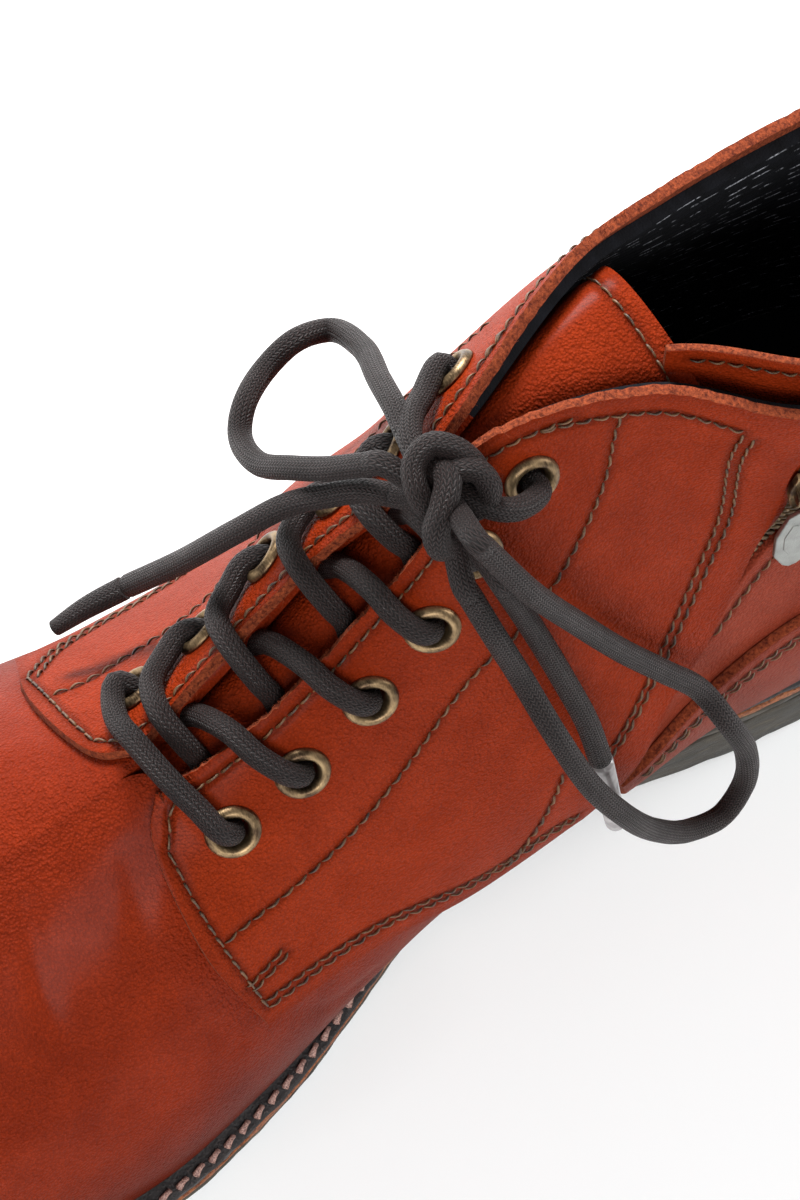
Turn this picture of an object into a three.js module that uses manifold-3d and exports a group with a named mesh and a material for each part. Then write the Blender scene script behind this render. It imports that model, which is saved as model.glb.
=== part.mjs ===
// Lace up ankle boot for the right foot, with a zip on the inner side of the heel.
// Millimetres, +Z up, toe towards -Y, inner (medial) side towards +X.
// The origin lies on the floor at the middle of the sole's forefoot flat.
import * as THREE from 'three';
import { mergeVertices } from 'three/addons/utils/BufferGeometryUtils.js';
import Module from 'manifold-3d';

const wasm = await Module();
wasm.setup();

// Driving sizes
const bootLength = 300;
const ballWidth = 90;
const collarWidth = 54;
const collarHeight = 144;
const upperWall = 2.2;
const overlayWall = 1.4;
const clearance = 0.3;
const overlayClearance = 0.6;
const tongueClearance = 0.9;
const heelRise = 17.7;
const toeSpring = 8.7;
const outsoleThickness = 4.3;
const midsoleThickness = 1.4;
const weltThickness = 2.7;
const weltReach = 4;
const heelReach = 2;
const insoleThickness = 3;
const laceDiameter = 4.5;
const eyeletHole = 5.6;
const eyeletFlange = 9.4;
const eyeletBarrel = 6.4;
const eyeletFromEdge = 11.5;
const eyeletSeat = 0.6;
const laceOverFlange = 1;
const agletDiameter = 5;
const zipTapeWall = 0.8;
const zipTapeWidth = 8;
const zipTeethWidth = 4;
const zipTeethHeight = 1.4;
const zipSlotGap = 1;
const zipBehindFlap = 4.4;
const pullLength = 24;
const pullWidth = 8.5;

// Places along the boot, as shares of its length from the back of the heel
const BALL_PLACE = 0.68;
const HEEL_FLAT_END = 0.2;
const ARCH_END = 0.583;
const TOE_SPRING_START = 0.773;
const HEEL_BREAST = 0.323;

// One row for each section of the last, from the toe to the back of the heel.
// Lengths (s, rimS, back) are shares of bootLength, widths (medial, lateral, bellies, outs)
// of half the ball width, rimHalf and rimShift of half the collar width, and heights
// (rimZ, rimDrop, rise, down) of collarHeight.
const SECTION_COLUMNS = ['s', 'medial', 'lateral', 'rimS', 'rimHalf', 'rimShift', 'rimZ', 'rimDrop',
  'medialBelly', 'lateralBelly', 'rise', 'back', 'medialOut', 'lateralOut', 'down'];
const SECTIONS = [
  [0.983, 0, 0, 0.88, 0, 0, 0.375, 0, 0.044, 0.044, 0.153, 0.073, 0, 0, 0.014],
  [0.957, 0.489, 0.4, 0.873, 0, 0, 0.378, 0, 0.044, 0.044, 0.153, 0.047, 0.289, 0.289, 0.014],
  [0.887, 0.844, 0.744, 0.847, 0, 0, 0.392, 0, 0.067, 0.067, 0.167, 0.013, 0.489, 0.489, 0.01],
  [0.793, 0.989, 0.944, 0.8, 0, 0, 0.417, 0, 0.089, 0.089, 0.181, 0, 0.578, 0.578, 0.007],
  [0.7, 1.022, 0.989, 0.737, 0, 0, 0.458, 0, 0.089, 0.089, 0.181, 0, 0.6, 0.6, 0.01],
  [0.62, 0.922, 0.944, 0.657, 0, 0, 0.535, 0, 0.156, 0.111, 0.194, 0, 0.556, 0.25, 0.021],
  [0.55, 0.778, 0.856, 0.63, 0.14, 0.06, 0.562, 0, 0.267, 0.133, 0.194, 0, 0.444, 0.24, 0.049],
  [0.48, 0.656, 0.789, 0.58, 0.2, 0.015, 0.639, 0, 0.378, 0.156, 0.201, 0, 0.444, 0.22, 0.097],
  [0.41, 0.6, 0.733, 0.527, 0.19, -0.05, 0.743, 0, 0.467, 0.156, 0.208, 0, 0.444, 0.43, 0.125],
  [0.35, 0.6, 0.711, 0.49, 0.13, -0.05, 0.847, 0, 0.467, 0.178, 0.208, 0, 0.422, 0.445, 0.139],
  [0.297, 0.633, 0.711, 0.457, 0.066, -0.171, 0.958, 0, 0.333, 0.178, 0.229, 0, 0.378, 0.41, 0.153],
  [0.24, 0.678, 0.722, 0.37, 0.41, -0.225, 0.993, 0, 0.178, 0.156, 0.264, 0, 0.178, 0.21, 0.208],
  [0.17, 0.7, 0.722, 0.293, 0.784, -0.014, 0.958, 0, 0.111, 0.111, 0.25, 0, 0.044, 0.048, 0.243],
  [0.097, 0.633, 0.633, 0.193, 0.93, 0.07, 0.944, 0.021, 0.089, 0.089, 0.236, 0, 0, 0, 0.25],
  [0.04, 0.422, 0.422, 0.083, 0.78, 0, 0.931, 0.014, 0.089, 0.089, 0.208, 0.003, -0.022, -0.022, 0.264],
  [0.017, 0, 0, 0.043, 0, 0, 0.944, 0, 0.111, 0.111, 0.194, 0.01, 0, 0, 0.264],
];
const HEEL_ROW = SECTIONS.length - 1;
const RING = 2 * HEEL_ROW;
const THROAT_ROW = 5;

// Places on the upper are [u, v]: u counts the rows of the table, v runs from the sole (0) to the rim (1).
const EYELET_ROWS = [6.1, 6.93, 7.71, 8.58, 9.4, 10.19];

const finish = (color, roughness, metalness = 0) => new THREE.MeshStandardMaterial({ color, roughness, metalness });
const leather = finish(0x9b3a22, 0.45);
const lining = finish(0x1c1c20, 0.85);
const rubber = finish(0x3f3d37, 0.75);
const cork = finish(0xa0663c, 0.7);
const blackWelt = finish(0x1b1a1a, 0.6);
const cottonLace = finish(0x37302f, 0.8);
const brass = finish(0x7a6a48, 0.4, 0.9);
const steel = finish(0x8f918c, 0.35, 0.9);
const plasticTip = finish(0x8d8581, 0.5);

const smoothstep = (t) => {
  const c = Math.min(1, Math.max(0, t));
  return c * c * (3 - 2 * c);
};
const lerp = (a, b, t) => a + (b - a) * t;
const vec = (x, y, z) => new THREE.Vector3(x, y, z);
const placeY = (s) => BALL_PLACE * bootLength - s;

// Height of the underside of the outsole above the floor, s from the back of the heel
function soleLift(s) {
  const share = s / bootLength;
  const heel = 1 - smoothstep((share - HEEL_FLAT_END) / (ARCH_END - HEEL_FLAT_END));
  const toe = Math.max(0, (share - TOE_SPRING_START) / (1 - TOE_SPRING_START)) ** 1.8;
  return heelRise * heel + toeSpring * toe;
}
const outsoleTop = outsoleThickness;
const midsoleTop = outsoleTop + clearance + midsoleThickness;
const weltTop = midsoleTop + clearance + weltThickness;
const featherHeight = (s) => soleLift(s) + weltTop + clearance;

// The rows of the table as lengths, once round the boot: down the medial side and back up the lateral one
function sectionLengths(row, side) {
  const r = Object.fromEntries(SECTION_COLUMNS.map((name, i) => [name, SECTIONS[row][i]]));
  const w = ballWidth / 2;
  const c = collarWidth / 2;
  const medial = side > 0;
  return [r.s * bootLength, side * w * (medial ? r.medial : r.lateral), r.rimS * bootLength,
    c * (r.rimShift + side * r.rimHalf), collarHeight * (r.rimZ - (medial ? 0 : r.rimDrop)),
    w * (medial ? r.medialBelly : r.lateralBelly), collarHeight * r.rise, bootLength * r.back,
    side * w * (medial ? r.medialOut : r.lateralOut), collarHeight * r.down];
}
const ring = [];
for (let row = 0; row <= HEEL_ROW; row += 1) ring.push(sectionLengths(row, 1));
for (let row = HEEL_ROW - 1; row > 0; row -= 1) ring.push(sectionLengths(row, -1));

function ringAt(u) {
  const i = Math.floor(u);
  const t = u - i;
  const [a, b, c, d] = [-1, 0, 1, 2].map((k) => ring[(((i + k) % RING) + RING) % RING]);
  return b.map((_, k) => 0.5 * (2 * b[k] + (c[k] - a[k]) * t
    + (2 * a[k] - 5 * b[k] + 4 * c[k] - d[k]) * t * t
    + (3 * b[k] - a[k] - 3 * c[k] + d[k]) * t * t * t));
}
const wrapped = (u) => ((u + RING / 2) % RING + RING) % RING - RING / 2;
const onRidge = (u) => Math.abs(wrapped(u)) <= THROAT_ROW + 1e-6;

// Outward direction of the feather line, level with the floor
function featherOutward(u) {
  const a = ringAt(u + 1e-3);
  const b = ringAt(u - 1e-3);
  const [ds, dx] = [a[0] - b[0], a[1] - b[1]];
  const size = Math.hypot(ds, dx);
  return [dx / size, -ds / size];
}

// A point of the upper's outer face
function last(u, v) {
  const [s, x, rimS, rimX, rimZ, belly, rise, back, out, down] = ringAt(u);
  const [outS, outX] = featherOutward(u);
  const ridgeX = onRidge(u) ? 0 : rimX;
  const foot = [s, x, featherHeight(s)];
  const low = [s + outS * belly, x + outX * belly, foot[2] + rise];
  const rim = [rimS, ridgeX, rimZ];
  const high = [rimS + back, ridgeX + out, rimZ - down];
  const w = 1 - v;
  const [ps, px, pz] = foot.map((_, k) => w ** 3 * foot[k] + 3 * w * w * v * low[k]
    + 3 * w * v * v * high[k] + v ** 3 * rim[k]);
  return vec(px, placeY(ps), pz);
}

function faceNormal(u, v) {
  const e = 2e-3;
  const c = Math.min(1 - e, Math.max(e, v));
  const across = last(u + e, v).sub(last(u - e, v));
  const up = last(u, c + e).sub(last(u, c - e));
  return across.cross(up).normalize();
}
// Along the closed ridge of the toe the two sides share one direction.
function lastNormal(u, v) {
  const n = faceNormal(u, v);
  return v > 0.999 && onRidge(u) ? n.add(faceNormal(-u, v)).normalize() : n;
}
const offLast = (u, v, height) => last(u, v).addScaledVector(lastNormal(u, v), height);

// A point at a distance below the rim, measured on the surface
function belowRim(u, distance) {
  let v = 1;
  let walked = 0;
  let here = last(u, v);
  const step = 0.004;
  while (walked < distance && v > step) {
    const next = last(u, v - step);
    walked += next.distanceTo(here);
    here = next;
    v -= step;
  }
  return v;
}

// Solids from points and faces
function solidGeometry(points, faces) {
  const geometry = new THREE.BufferGeometry();
  geometry.setAttribute('position', new THREE.Float32BufferAttribute(points.flatMap((p) => p.toArray()), 3));
  geometry.setIndex(faces.flat());
  return geometry;
}
const quad = (a, b, c, d) => [[a, b, c], [a, c, d]];

// A closed shell between two grids of points, outer[i][j] and inner[i][j]
function shell(outer, inner, { closed = false, twin = null } = {}) {
  const ni = outer.length;
  const nj = outer[0].length;
  const points = [...outer.flat(), ...inner.flat()];
  const welded = (i, j) => twin && j === nj - 1 && twin(i) !== null;
  const column = (i, j) => (welded(i, j) ? Math.min(i, twin(i)) : i);
  const out = (i, j) => column(i % ni, j) * nj + j;
  const ins = (i, j) => ni * nj + out(i, j);
  const faces = [];
  const spans = closed ? ni : ni - 1;
  for (let i = 0; i < spans; i += 1) {
    for (let j = 0; j < nj - 1; j += 1) {
      faces.push(...quad(out(i, j), out(i + 1, j), out(i + 1, j + 1), out(i, j + 1)));
      faces.push(...quad(ins(i, j), ins(i, j + 1), ins(i + 1, j + 1), ins(i + 1, j)));
    }
    faces.push(...quad(out(i, 0), ins(i, 0), ins(i + 1, 0), out(i + 1, 0)));
    if (!(welded(i, nj - 1) && welded((i + 1) % ni, nj - 1))) {
      faces.push(...quad(out(i, nj - 1), out(i + 1, nj - 1), ins(i + 1, nj - 1), ins(i, nj - 1)));
    }
  }
  if (!closed) {
    for (let j = 0; j < nj - 1; j += 1) {
      faces.push(...quad(out(0, j), out(0, j + 1), ins(0, j + 1), ins(0, j)));
      faces.push(...quad(out(ni - 1, j), ins(ni - 1, j), ins(ni - 1, j + 1), out(ni - 1, j + 1)));
    }
  }
  const real = faces.filter(([a, b, c]) => a !== b && b !== c && a !== c);
  return solidGeometry(points, real);
}

// A piece that lies on the upper, over a grid of places [u, v]
function overlay(place, columns, upSteps, base, thickness) {
  const grid = (height) => columns.map((a) => (
    Array.from({ length: upSteps + 1 }, (_, j) => {
      const [u, v] = place(a, j / upSteps);
      return offLast(u, v, height);
    })));
  return shell(grid(base + thickness), grid(base));
}
const evenly = (steps) => Array.from({ length: steps + 1 }, (_, i) => i / steps);

// Joins and cuts
function toManifold(geometry) {
  const bare = geometry.clone();
  bare.deleteAttribute('normal');
  bare.deleteAttribute('uv');
  const merged = mergeVertices(bare, 1e-4);
  return new wasm.Manifold(new wasm.Mesh({
    numProp: 3,
    vertProperties: new Float32Array(merged.getAttribute('position').array),
    triVerts: new Uint32Array(merged.getIndex().array),
  }));
}
function toGeometry(body) {
  const mesh = body.getMesh();
  const geometry = new THREE.BufferGeometry();
  geometry.setAttribute('position', new THREE.BufferAttribute(Float32Array.from(mesh.vertProperties), 3));
  geometry.setIndex(new THREE.BufferAttribute(Uint32Array.from(mesh.triVerts), 1));
  return geometry;
}
const join = (pieces) => toGeometry(pieces.map(toManifold).reduce((a, b) => a.add(b)));
const cut = (piece, tools) => toGeometry(tools.map(toManifold).reduce((a, b) => a.subtract(b), toManifold(piece)));

// Turns a geometry's axes to the given ones and moves it to a place
const seated = (geometry, x, y, z, place) => geometry.applyMatrix4(
  new THREE.Matrix4().makeBasis(x, y, z).setPosition(place));

function tube(points, diameter, steps, sides = 8) {
  const section = new THREE.Shape();
  for (let k = 0; k < sides; k += 1) {
    const a = (2 * Math.PI * (k + 0.5)) / sides;
    section[k ? 'lineTo' : 'moveTo']((diameter / 2) * Math.cos(a), (diameter / 2) * Math.sin(a));
  }
  const path = new THREE.CatmullRomCurve3(points);
  return new THREE.ExtrudeGeometry(section, { steps, bevelEnabled: false, extrudePath: path });
}

const boot = new THREE.Group();
boot.name = 'lace_up_ankle_boot';
function add(name, geometry, material, parent = boot) {
  const mesh = new THREE.Mesh(geometry, material);
  mesh.name = name;
  parent.add(mesh);
}

// Sole: plates worked out from the feather line, a pair of edge points for each place along it
const SOLE_STEPS = 26;
function rowOfLength(share) {
  let [low, high] = [0, HEEL_ROW];
  while (high - low > 1e-6) {
    const middle = (low + high) / 2;
    if (ringAt(middle)[0] > share * bootLength) low = middle;
    else high = middle;
  }
  return low;
}
// The welt stands out round the forefoot, dies away at the waist and is narrow at the heel.
function reachAt(s) {
  const share = s / bootLength;
  const front = smoothstep((share - 0.42) / 0.18);
  const heel = 1 - smoothstep((share - 0.22) / 0.16);
  return weltReach * Math.max(front, 0.12) + heelReach * heel * (1 - front);
}
function edgePoint(u, reach) {
  const [s, x] = ringAt(u);
  const [outS, outX] = featherOutward(u);
  return [s + outS * reach, x + outX * reach];
}
// Heights may change with s; edges may lean by reaching further at the bottom.
function plate({ from = 0, to = HEEL_ROW, steps = SOLE_STEPS, reach, bottom, top, bottomReach = reach }) {
  const rows = Array.from({ length: steps + 1 }, (_, i) => {
    const t = i / steps;
    return lerp(from, to, from === 0 ? t : 1 - (1 - t) ** 1.3);
  });
  const points = [];
  const level = (u, reachOf, height) => {
    const [s, x] = edgePoint(u, reachOf(ringAt(u)[0]));
    points.push(vec(x, placeY(s), height(s)));
    return points.length - 1;
  };
  const corners = rows.map((u) => {
    const single = u < 1e-6 || u > HEEL_ROW - 1e-6;
    const topIn = level(u, reach, top);
    const lowIn = level(u, bottomReach, bottom);
    return single ? [topIn, topIn, lowIn, lowIn]
      : [topIn, level(-u, reach, top), lowIn, level(-u, bottomReach, bottom)];
  });
  const faces = [];
  for (let i = 0; i < steps; i += 1) {
    const [a, b, c, d] = corners[i];
    const [e, f, g, h] = corners[i + 1];
    faces.push(...quad(a, e, f, b), ...quad(c, d, h, g), ...quad(a, c, g, e), ...quad(b, f, h, d));
  }
  const [a, b, c, d] = corners[0];
  const [e, f, g, h] = corners[steps];
  if (a !== b) faces.push(...quad(a, b, d, c));
  if (e !== f) faces.push(...quad(e, g, h, f));
  return solidGeometry(points, faces.filter(([p, q, r]) => p !== q && q !== r && p !== r));
}

const heelStart = rowOfLength(HEEL_BREAST);
add('heel', plate({
  from: heelStart,
  steps: 14,
  reach: reachAt,
  bottomReach: (s) => reachAt(s) - 0.6,
  bottom: () => 0,
  top: (s) => soleLift(s) - clearance,
}), rubber);
add('outsole', plate({
  reach: reachAt,
  bottomReach: (s) => reachAt(s) - 0.5,
  bottom: soleLift,
  top: (s) => soleLift(s) + outsoleTop,
}), rubber);
add('midsole', plate({
  reach: (s) => reachAt(s) - 0.2,
  bottom: (s) => soleLift(s) + outsoleTop + clearance,
  top: (s) => soleLift(s) + midsoleTop,
}), cork);

// The welt is a ring under the upper's edge, and the insole with its filling lies inside it.
const weltInner = upperWall + 1.3;
const ringRows = Array.from({ length: 2 * SOLE_STEPS }, (_, i) => (i * HEEL_ROW) / SOLE_STEPS);
function weltRing() {
  const side = (reachOf, height) => ringRows.map((u) => {
    const [s, x] = edgePoint(u, reachOf(ringAt(u)[0]));
    return vec(x, placeY(s), height(s));
  });
  const low = (s) => soleLift(s) + midsoleTop + clearance;
  const high = (s) => soleLift(s) + weltTop;
  const outerLow = side((s) => reachAt(s) - 0.5, low);
  const outerHigh = side((s) => reachAt(s) - 0.3, high);
  const innerLow = side(() => -weltInner, low);
  const innerHigh = side(() => -weltInner, high);
  return shell(ringRows.map((_, i) => [outerLow[i], outerHigh[i]]), ringRows.map((_, i) => [innerLow[i], innerHigh[i]]),
    { closed: true });
}
add('welt', weltRing(), blackWelt);
add('insole', plate({
  reach: () => -weltInner - clearance,
  bottom: (s) => soleLift(s) + midsoleTop + clearance,
  top: (s) => soleLift(s) + weltTop + clearance + insoleThickness,
}), lining);

// Eyelets: a hole through the upper and the quarter at each place, and a flanged ring in it
const EYELET_SIDES = 8;
const FLANGE_HEIGHT = 0.9;
function eyeletPlace(row, side) {
  const u = side * row;
  const v = belowRim(u, eyeletFromEdge);
  const out = lastNormal(u, v);
  const across = vec(0, 1, 0).cross(out).normalize();
  return { centre: last(u, v), out, across, along: out.clone().cross(across) };
}
const quarterFace = overlayClearance + overlayWall;
const eyeletPlaces = [1, -1].flatMap((side) => EYELET_ROWS.map((row, k) => (
  { name: `eyelet_${side > 0 ? 'medial' : 'lateral'}_${k + 1}`, side, ...eyeletPlace(row, side) })));
const eyeletBores = (side) => eyeletPlaces.filter((p) => p.side === side).map((p) => {
  const radius = eyeletBarrel / 2 + clearance;
  const bore = new THREE.CylinderGeometry(radius, radius, 14, EYELET_SIDES);
  return seated(bore, p.across, p.out, p.across.clone().cross(p.out), p.centre);
});
for (const p of eyeletPlaces) {
  const [hole, barrel, flange] = [eyeletHole / 2, eyeletBarrel / 2, eyeletFlange / 2];
  const under = quarterFace + eyeletSeat;
  const profile = [[hole, 0.2 - upperWall], [barrel, 0.2 - upperWall], [barrel, under], [flange, under],
    [flange - 0.6, under + FLANGE_HEIGHT], [hole + 0.4, under + FLANGE_HEIGHT]];
  profile.push(profile[0]);
  const ringShape = new THREE.LatheGeometry(profile.map(([r, h]) => new THREE.Vector2(r, h)), EYELET_SIDES);
  seated(ringShape, p.across, p.out, p.across.clone().cross(p.out), p.centre);
  add(p.name, ringShape, brass);
}

// A smooth line through a few places [u, v]
function lineOf(places) {
  const curve = new THREE.CatmullRomCurve3(places.map(([u, v]) => vec(u, v, 0)), false, 'centripetal');
  return (t) => {
    const p = curve.getPoint(t);
    return [p.x, Math.min(p.y, 1)];
  };
}

// The zip runs behind the free edge of the medial quarter: it leaves the flap's shelter towards the collar.
const FLAP_EDGE = [[8.3, 0.24], [9.68, 0.35], [10.34, 0.4], [10.99, 0.51], [11.57, 0.67], [11.9, 0.86], [12.15, 1]];
const ZIP_START = 0.14;
const ZIP_END = 0.97;
const flapEdge = lineOf(FLAP_EDGE);
const behindFlap = (t) => lerp(-1, zipBehindFlap, smoothstep((t - 0.3) / 0.35));
// A strip along the zip's middle; its top may run out beyond the rim.
const zipPlace = (width, end = ZIP_END) => (a, b) => {
  const t = lerp(ZIP_START, end, b);
  const [u, v] = flapEdge(Math.min(t, 1));
  const rowLength = last(u + 0.5, v).distanceTo(last(u - 0.5, v));
  return [u + (behindFlap(t) + width * (a - 0.5)) / rowLength, v + Math.max(0, t - 1)];
};
const zipSlot = overlay(zipPlace(zipTeethWidth + 2 * zipSlotGap, 1.05), evenly(1), 12, -2 * upperWall, 3 * upperWall);

// Upper: one hollow wall, closed over the toe, open at the throat, the collar and underneath
const upperColumns = [];
for (let row = 0; row < HEEL_ROW; row += 1) {
  const steps = row === 0 || row > 12 ? 3 : 2;
  for (let k = 0; k < steps; k += 1) upperColumns.push(row + k / steps);
}
const medialCount = upperColumns.length;
for (let i = medialCount; i > 0; i -= 1) upperColumns.push(i === medialCount ? -HEEL_ROW : -upperColumns[i]);
const UPPER_ROWS = 8;
const upperGrid = (height) => upperColumns.map((u) => Array.from({ length: UPPER_ROWS + 1 },
  (_, j) => offLast(u, j / UPPER_ROWS, height)));
const upperTwin = (i) => (onRidge(upperColumns[i]) ? (upperColumns.length - i) % upperColumns.length : null);
const upperShell = shell(upperGrid(0), upperGrid(-upperWall), { closed: true, twin: upperTwin });
add('upper', cut(upperShell, [zipSlot, ...eyeletBores(1), ...eyeletBores(-1)]), leather);

// A patch between four lines that share their corners
const patch = (bottom, top, front, rear) => (a, b) => [0, 1].map((k) => (
  lerp(bottom(a)[k], top(a)[k], b) + lerp(front(b)[k], rear(b)[k], a)
  - lerp(lerp(bottom(0)[k], bottom(1)[k], a), lerp(top(0)[k], top(1)[k], a), b)));

const QUARTER_FRONT = [[4.98, 0.38], [4.82, 0.6], [4.92, 0.84], [5.3, 0.95]];
const medialQuarter = patch(
  lineOf([[4.98, 0.38], [6.3, 0.36], [7.3, 0.26], [8.3, 0.24]]),
  lineOf([[5.3, 0.95], [6, 1], [8, 1], [10, 1], [12.15, 1]]),
  lineOf(QUARTER_FRONT),
  lineOf(FLAP_EDGE),
);
const lateralQuarter = patch(
  lineOf([[4.98, 0.38], [6.6, 0.34], [8.6, 0.3], [10.2, 0.33], [11.3, 0.41]]),
  lineOf([[5.3, 0.95], [6, 1], [8, 1], [10, 1], [12, 1], [13.9, 1]]),
  lineOf(QUARTER_FRONT),
  lineOf([[11.3, 0.41], [12.4, 0.68], [13.9, 1]]),
);
const onLateral = (place) => (a, b) => {
  const [u, v] = place(1 - a, b);
  return [-u, v];
};
add('quarter_medial', cut(overlay(medialQuarter, evenly(16), 9, overlayClearance, overlayWall), eyeletBores(1)), leather);
add('quarter_lateral', cut(overlay(onLateral(lateralQuarter), evenly(20), 8, overlayClearance, overlayWall), eyeletBores(-1)),
  leather);

// Heel counter: a panel round the back, over the seam of the upper
const COUNTER_START = 8.8;
const counterTop = lineOf([[COUNTER_START, 0.26], [9.9, 0.28], [10.54, 0.3], [11.3, 0.37], [13, 0.44], [15, 0.46]]);
const COUNTER_FOOT = 0.03;
function counterPlace(u, b) {
  const reached = (HEEL_ROW - Math.abs(HEEL_ROW - u) - COUNTER_START) / (HEEL_ROW - COUNTER_START);
  return [u, lerp(COUNTER_FOOT, counterTop(reached)[1], b)];
}
const behind = upperColumns.map((u) => (u < 0 ? u + RING : u))
  .filter((u) => u > COUNTER_START && u < RING - COUNTER_START);
const counterColumns = [COUNTER_START, ...behind, RING - COUNTER_START];
add('counter', overlay(counterPlace, counterColumns, 3, overlayClearance, overlayWall), leather);

// Tongue: rows across the throat that follow the inside of the upper and arch over the instep
const TONGUE_ROWS = [5.35, 6, 6.7, 7.4, 8.1, 8.8, 9.5, 10.1, 10.6, 11, 11.3];
const TONGUE_EDGE = 0.8;
const TONGUE_SIDE = 0.95;
function tongueRow(row, height) {
  const depth = height - upperWall - tongueClearance;
  const side = (sign) => [0, 0.5, 1].map((t) => offLast(sign * row, lerp(TONGUE_EDGE, TONGUE_SIDE, t), depth));
  const [m, l] = [side(1), side(-1)];
  const span = m[2].distanceTo(l[2]);
  const reach = (points) => points[2].clone().add(
    points[2].clone().sub(points[1]).normalize().multiplyScalar(span * 0.3));
  const arch = new THREE.CubicBezierCurve3(m[2], reach(m), reach(l), l[2]);
  return [...m, arch.getPoint(0.25), arch.getPoint(0.5), arch.getPoint(0.75), l[2], l[1], l[0]];
}
const tongueGrid = (height) => TONGUE_ROWS.map((row) => tongueRow(row, height));
add('tongue', shell(tongueGrid(0), tongueGrid(-overlayWall)), leather);

// Zip: a tape behind the slot in the upper, two rows of teeth in it as one strip, and a slider
const zipUnder = -upperWall - overlayClearance;
const teethBase = zipUnder + overlayClearance;
add('zip_tape', overlay(zipPlace(zipTapeWidth), evenly(1), 12, zipUnder - zipTapeWall, zipTapeWall), lining);
add('zip_teeth', overlay(zipPlace(zipTeethWidth), evenly(1), 12, teethBase, zipTeethHeight), brass);

const SLIDER_AT = 0.74;
const sliderPlace = zipPlace(0);
const sliderUV = sliderPlace(0, SLIDER_AT);
const sliderOut = lastNormal(...sliderUV);
const sliderUp = last(...sliderPlace(0, SLIDER_AT + 0.02)).sub(last(...sliderUV)).normalize();
const sliderAcross = sliderUp.clone().cross(sliderOut).normalize();
const sliderBase = overlayClearance;
const sliderPlate = 1.4;
const sliderLength = 10;
const sliderWidth = 7;
const pinRadius = 0.6;
const pinHeight = 1.75;
const earWidth = 1;
const pullRootWidth = 2.6;
const pullThickness = 1;
const onSlider = (geometry, height) => seated(geometry, sliderAcross, sliderUp, sliderOut,
  offLast(...sliderUV, sliderBase + height));
function extruded(outline, depth) {
  return new THREE.ExtrudeGeometry(new THREE.Shape(outline.map(([x, y]) => new THREE.Vector2(x, y))),
    { depth, bevelEnabled: false });
}
function slider() {
  const [w, l] = [sliderWidth / 2, sliderLength / 2];
  const plateShape = extruded([[-w, l * 0.2], [-w * 0.7, -l], [w * 0.7, -l], [w, l * 0.2], [w * 0.8, l], [-w * 0.8, l]],
    sliderPlate);
  const depth = sliderBase - teethBase - zipTeethHeight - clearance;
  const stem = new THREE.BoxGeometry(zipTeethWidth - 1, sliderLength * 0.7, depth + 0.5);
  stem.translate(0, 0, (0.5 - depth) / 2);
  const inner = pullRootWidth / 2 + clearance;
  const ears = [inner, -inner - earWidth].map((x) => {
    const ear = new THREE.BoxGeometry(earWidth, 2.4, sliderPlate + pinHeight + pinRadius);
    return ear.translate(x + earWidth / 2, 0, (sliderPlate + pinHeight + pinRadius) / 2);
  });
  const pin = new THREE.CylinderGeometry(pinRadius, pinRadius, 2 * inner + earWidth, 8);
  pin.rotateZ(Math.PI / 2).translate(0, 0, sliderPlate + pinHeight);
  return onSlider(join([plateShape, stem, ...ears, pin]), 0);
}
add('zip_slider', slider(), brass);

// The pull tab turns on the slider's pin; a leaf hangs from its eye.
function pull() {
  const [eye, bore] = [1.4, pinRadius + clearance];
  const eyeRing = new THREE.LatheGeometry([[bore, -1], [eye, -1], [eye, 1], [bore, 1], [bore, -1]].map(([r, h]) => (
    new THREE.Vector2(r, (h * pullRootWidth) / 2))), 12);
  eyeRing.rotateZ(Math.PI / 2);
  const [r, w, l] = [pullRootWidth / 2, pullWidth / 2, pullLength];
  const leaf = extruded([[-r, -1.15], [-r, -3.2], [-w * 0.75, -5], [-w, -0.5 * l], [-w * 0.8, -0.8 * l],
    [0, -l], [w * 0.8, -0.8 * l], [w, -0.5 * l], [w * 0.75, -5], [r, -3.2], [r, -1.15]], pullThickness);
  leaf.translate(0, 0, -pullThickness / 2);
  return onSlider(join([eyeRing, leaf]), sliderPlate + pinHeight);
}
add('zip_pull', pull(), steel);

// Leather guard behind the zip, inside the collar
const guardPlace = (a, b) => [lerp(11.5, 13.2, a), lerp(0.68, 1 + 0.055 * Math.sin(Math.PI * Math.min(1, 0.15 + a)), b)];
add('zip_guard', overlay(guardPlace, evenly(5), 4, zipUnder - zipTapeWall - tongueClearance - overlayWall, overlayWall),
  leather);

// Lace between the eyelets: a bar at the bottom pair and a crossing for each pair above it
const laceRadius = laceDiameter / 2;
const flangeTop = quarterFace + eyeletSeat + FLANGE_HEIGHT;
const overFlange = flangeTop + laceOverFlange + laceRadius;
const overQuarter = quarterFace + laceOverFlange + laceRadius;
const eyeletCentre = (side, k) => {
  const p = eyeletPlaces.find((e) => e.name === `eyelet_${side > 0 ? 'medial' : 'lateral'}_${k + 1}`);
  return p.centre.clone().addScaledVector(p.out, overFlange);
};
const rimPlace = (side, row, height) => offLast(side * row, 1, height);
function gapPlace(side, row, inward, height) {
  const here = rimPlace(side, row, height);
  const middle = here.clone().add(rimPlace(-side, row, height)).multiplyScalar(0.5);
  return here.addScaledVector(middle.sub(here).normalize(), inward);
}
function strand(side, k) {
  const [row, before] = [EYELET_ROWS[k], EYELET_ROWS[k - 1]];
  const middle = (row + before) / 2;
  return tube([
    eyeletCentre(side, k),
    rimPlace(side, lerp(row, before, 0.2), overQuarter),
    gapPlace(side, middle, laceDiameter, 2.9),
    gapPlace(-side, lerp(before, row, 0.35), laceRadius + 1.2, 0.6),
  ], laceDiameter, 5);
}
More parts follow.
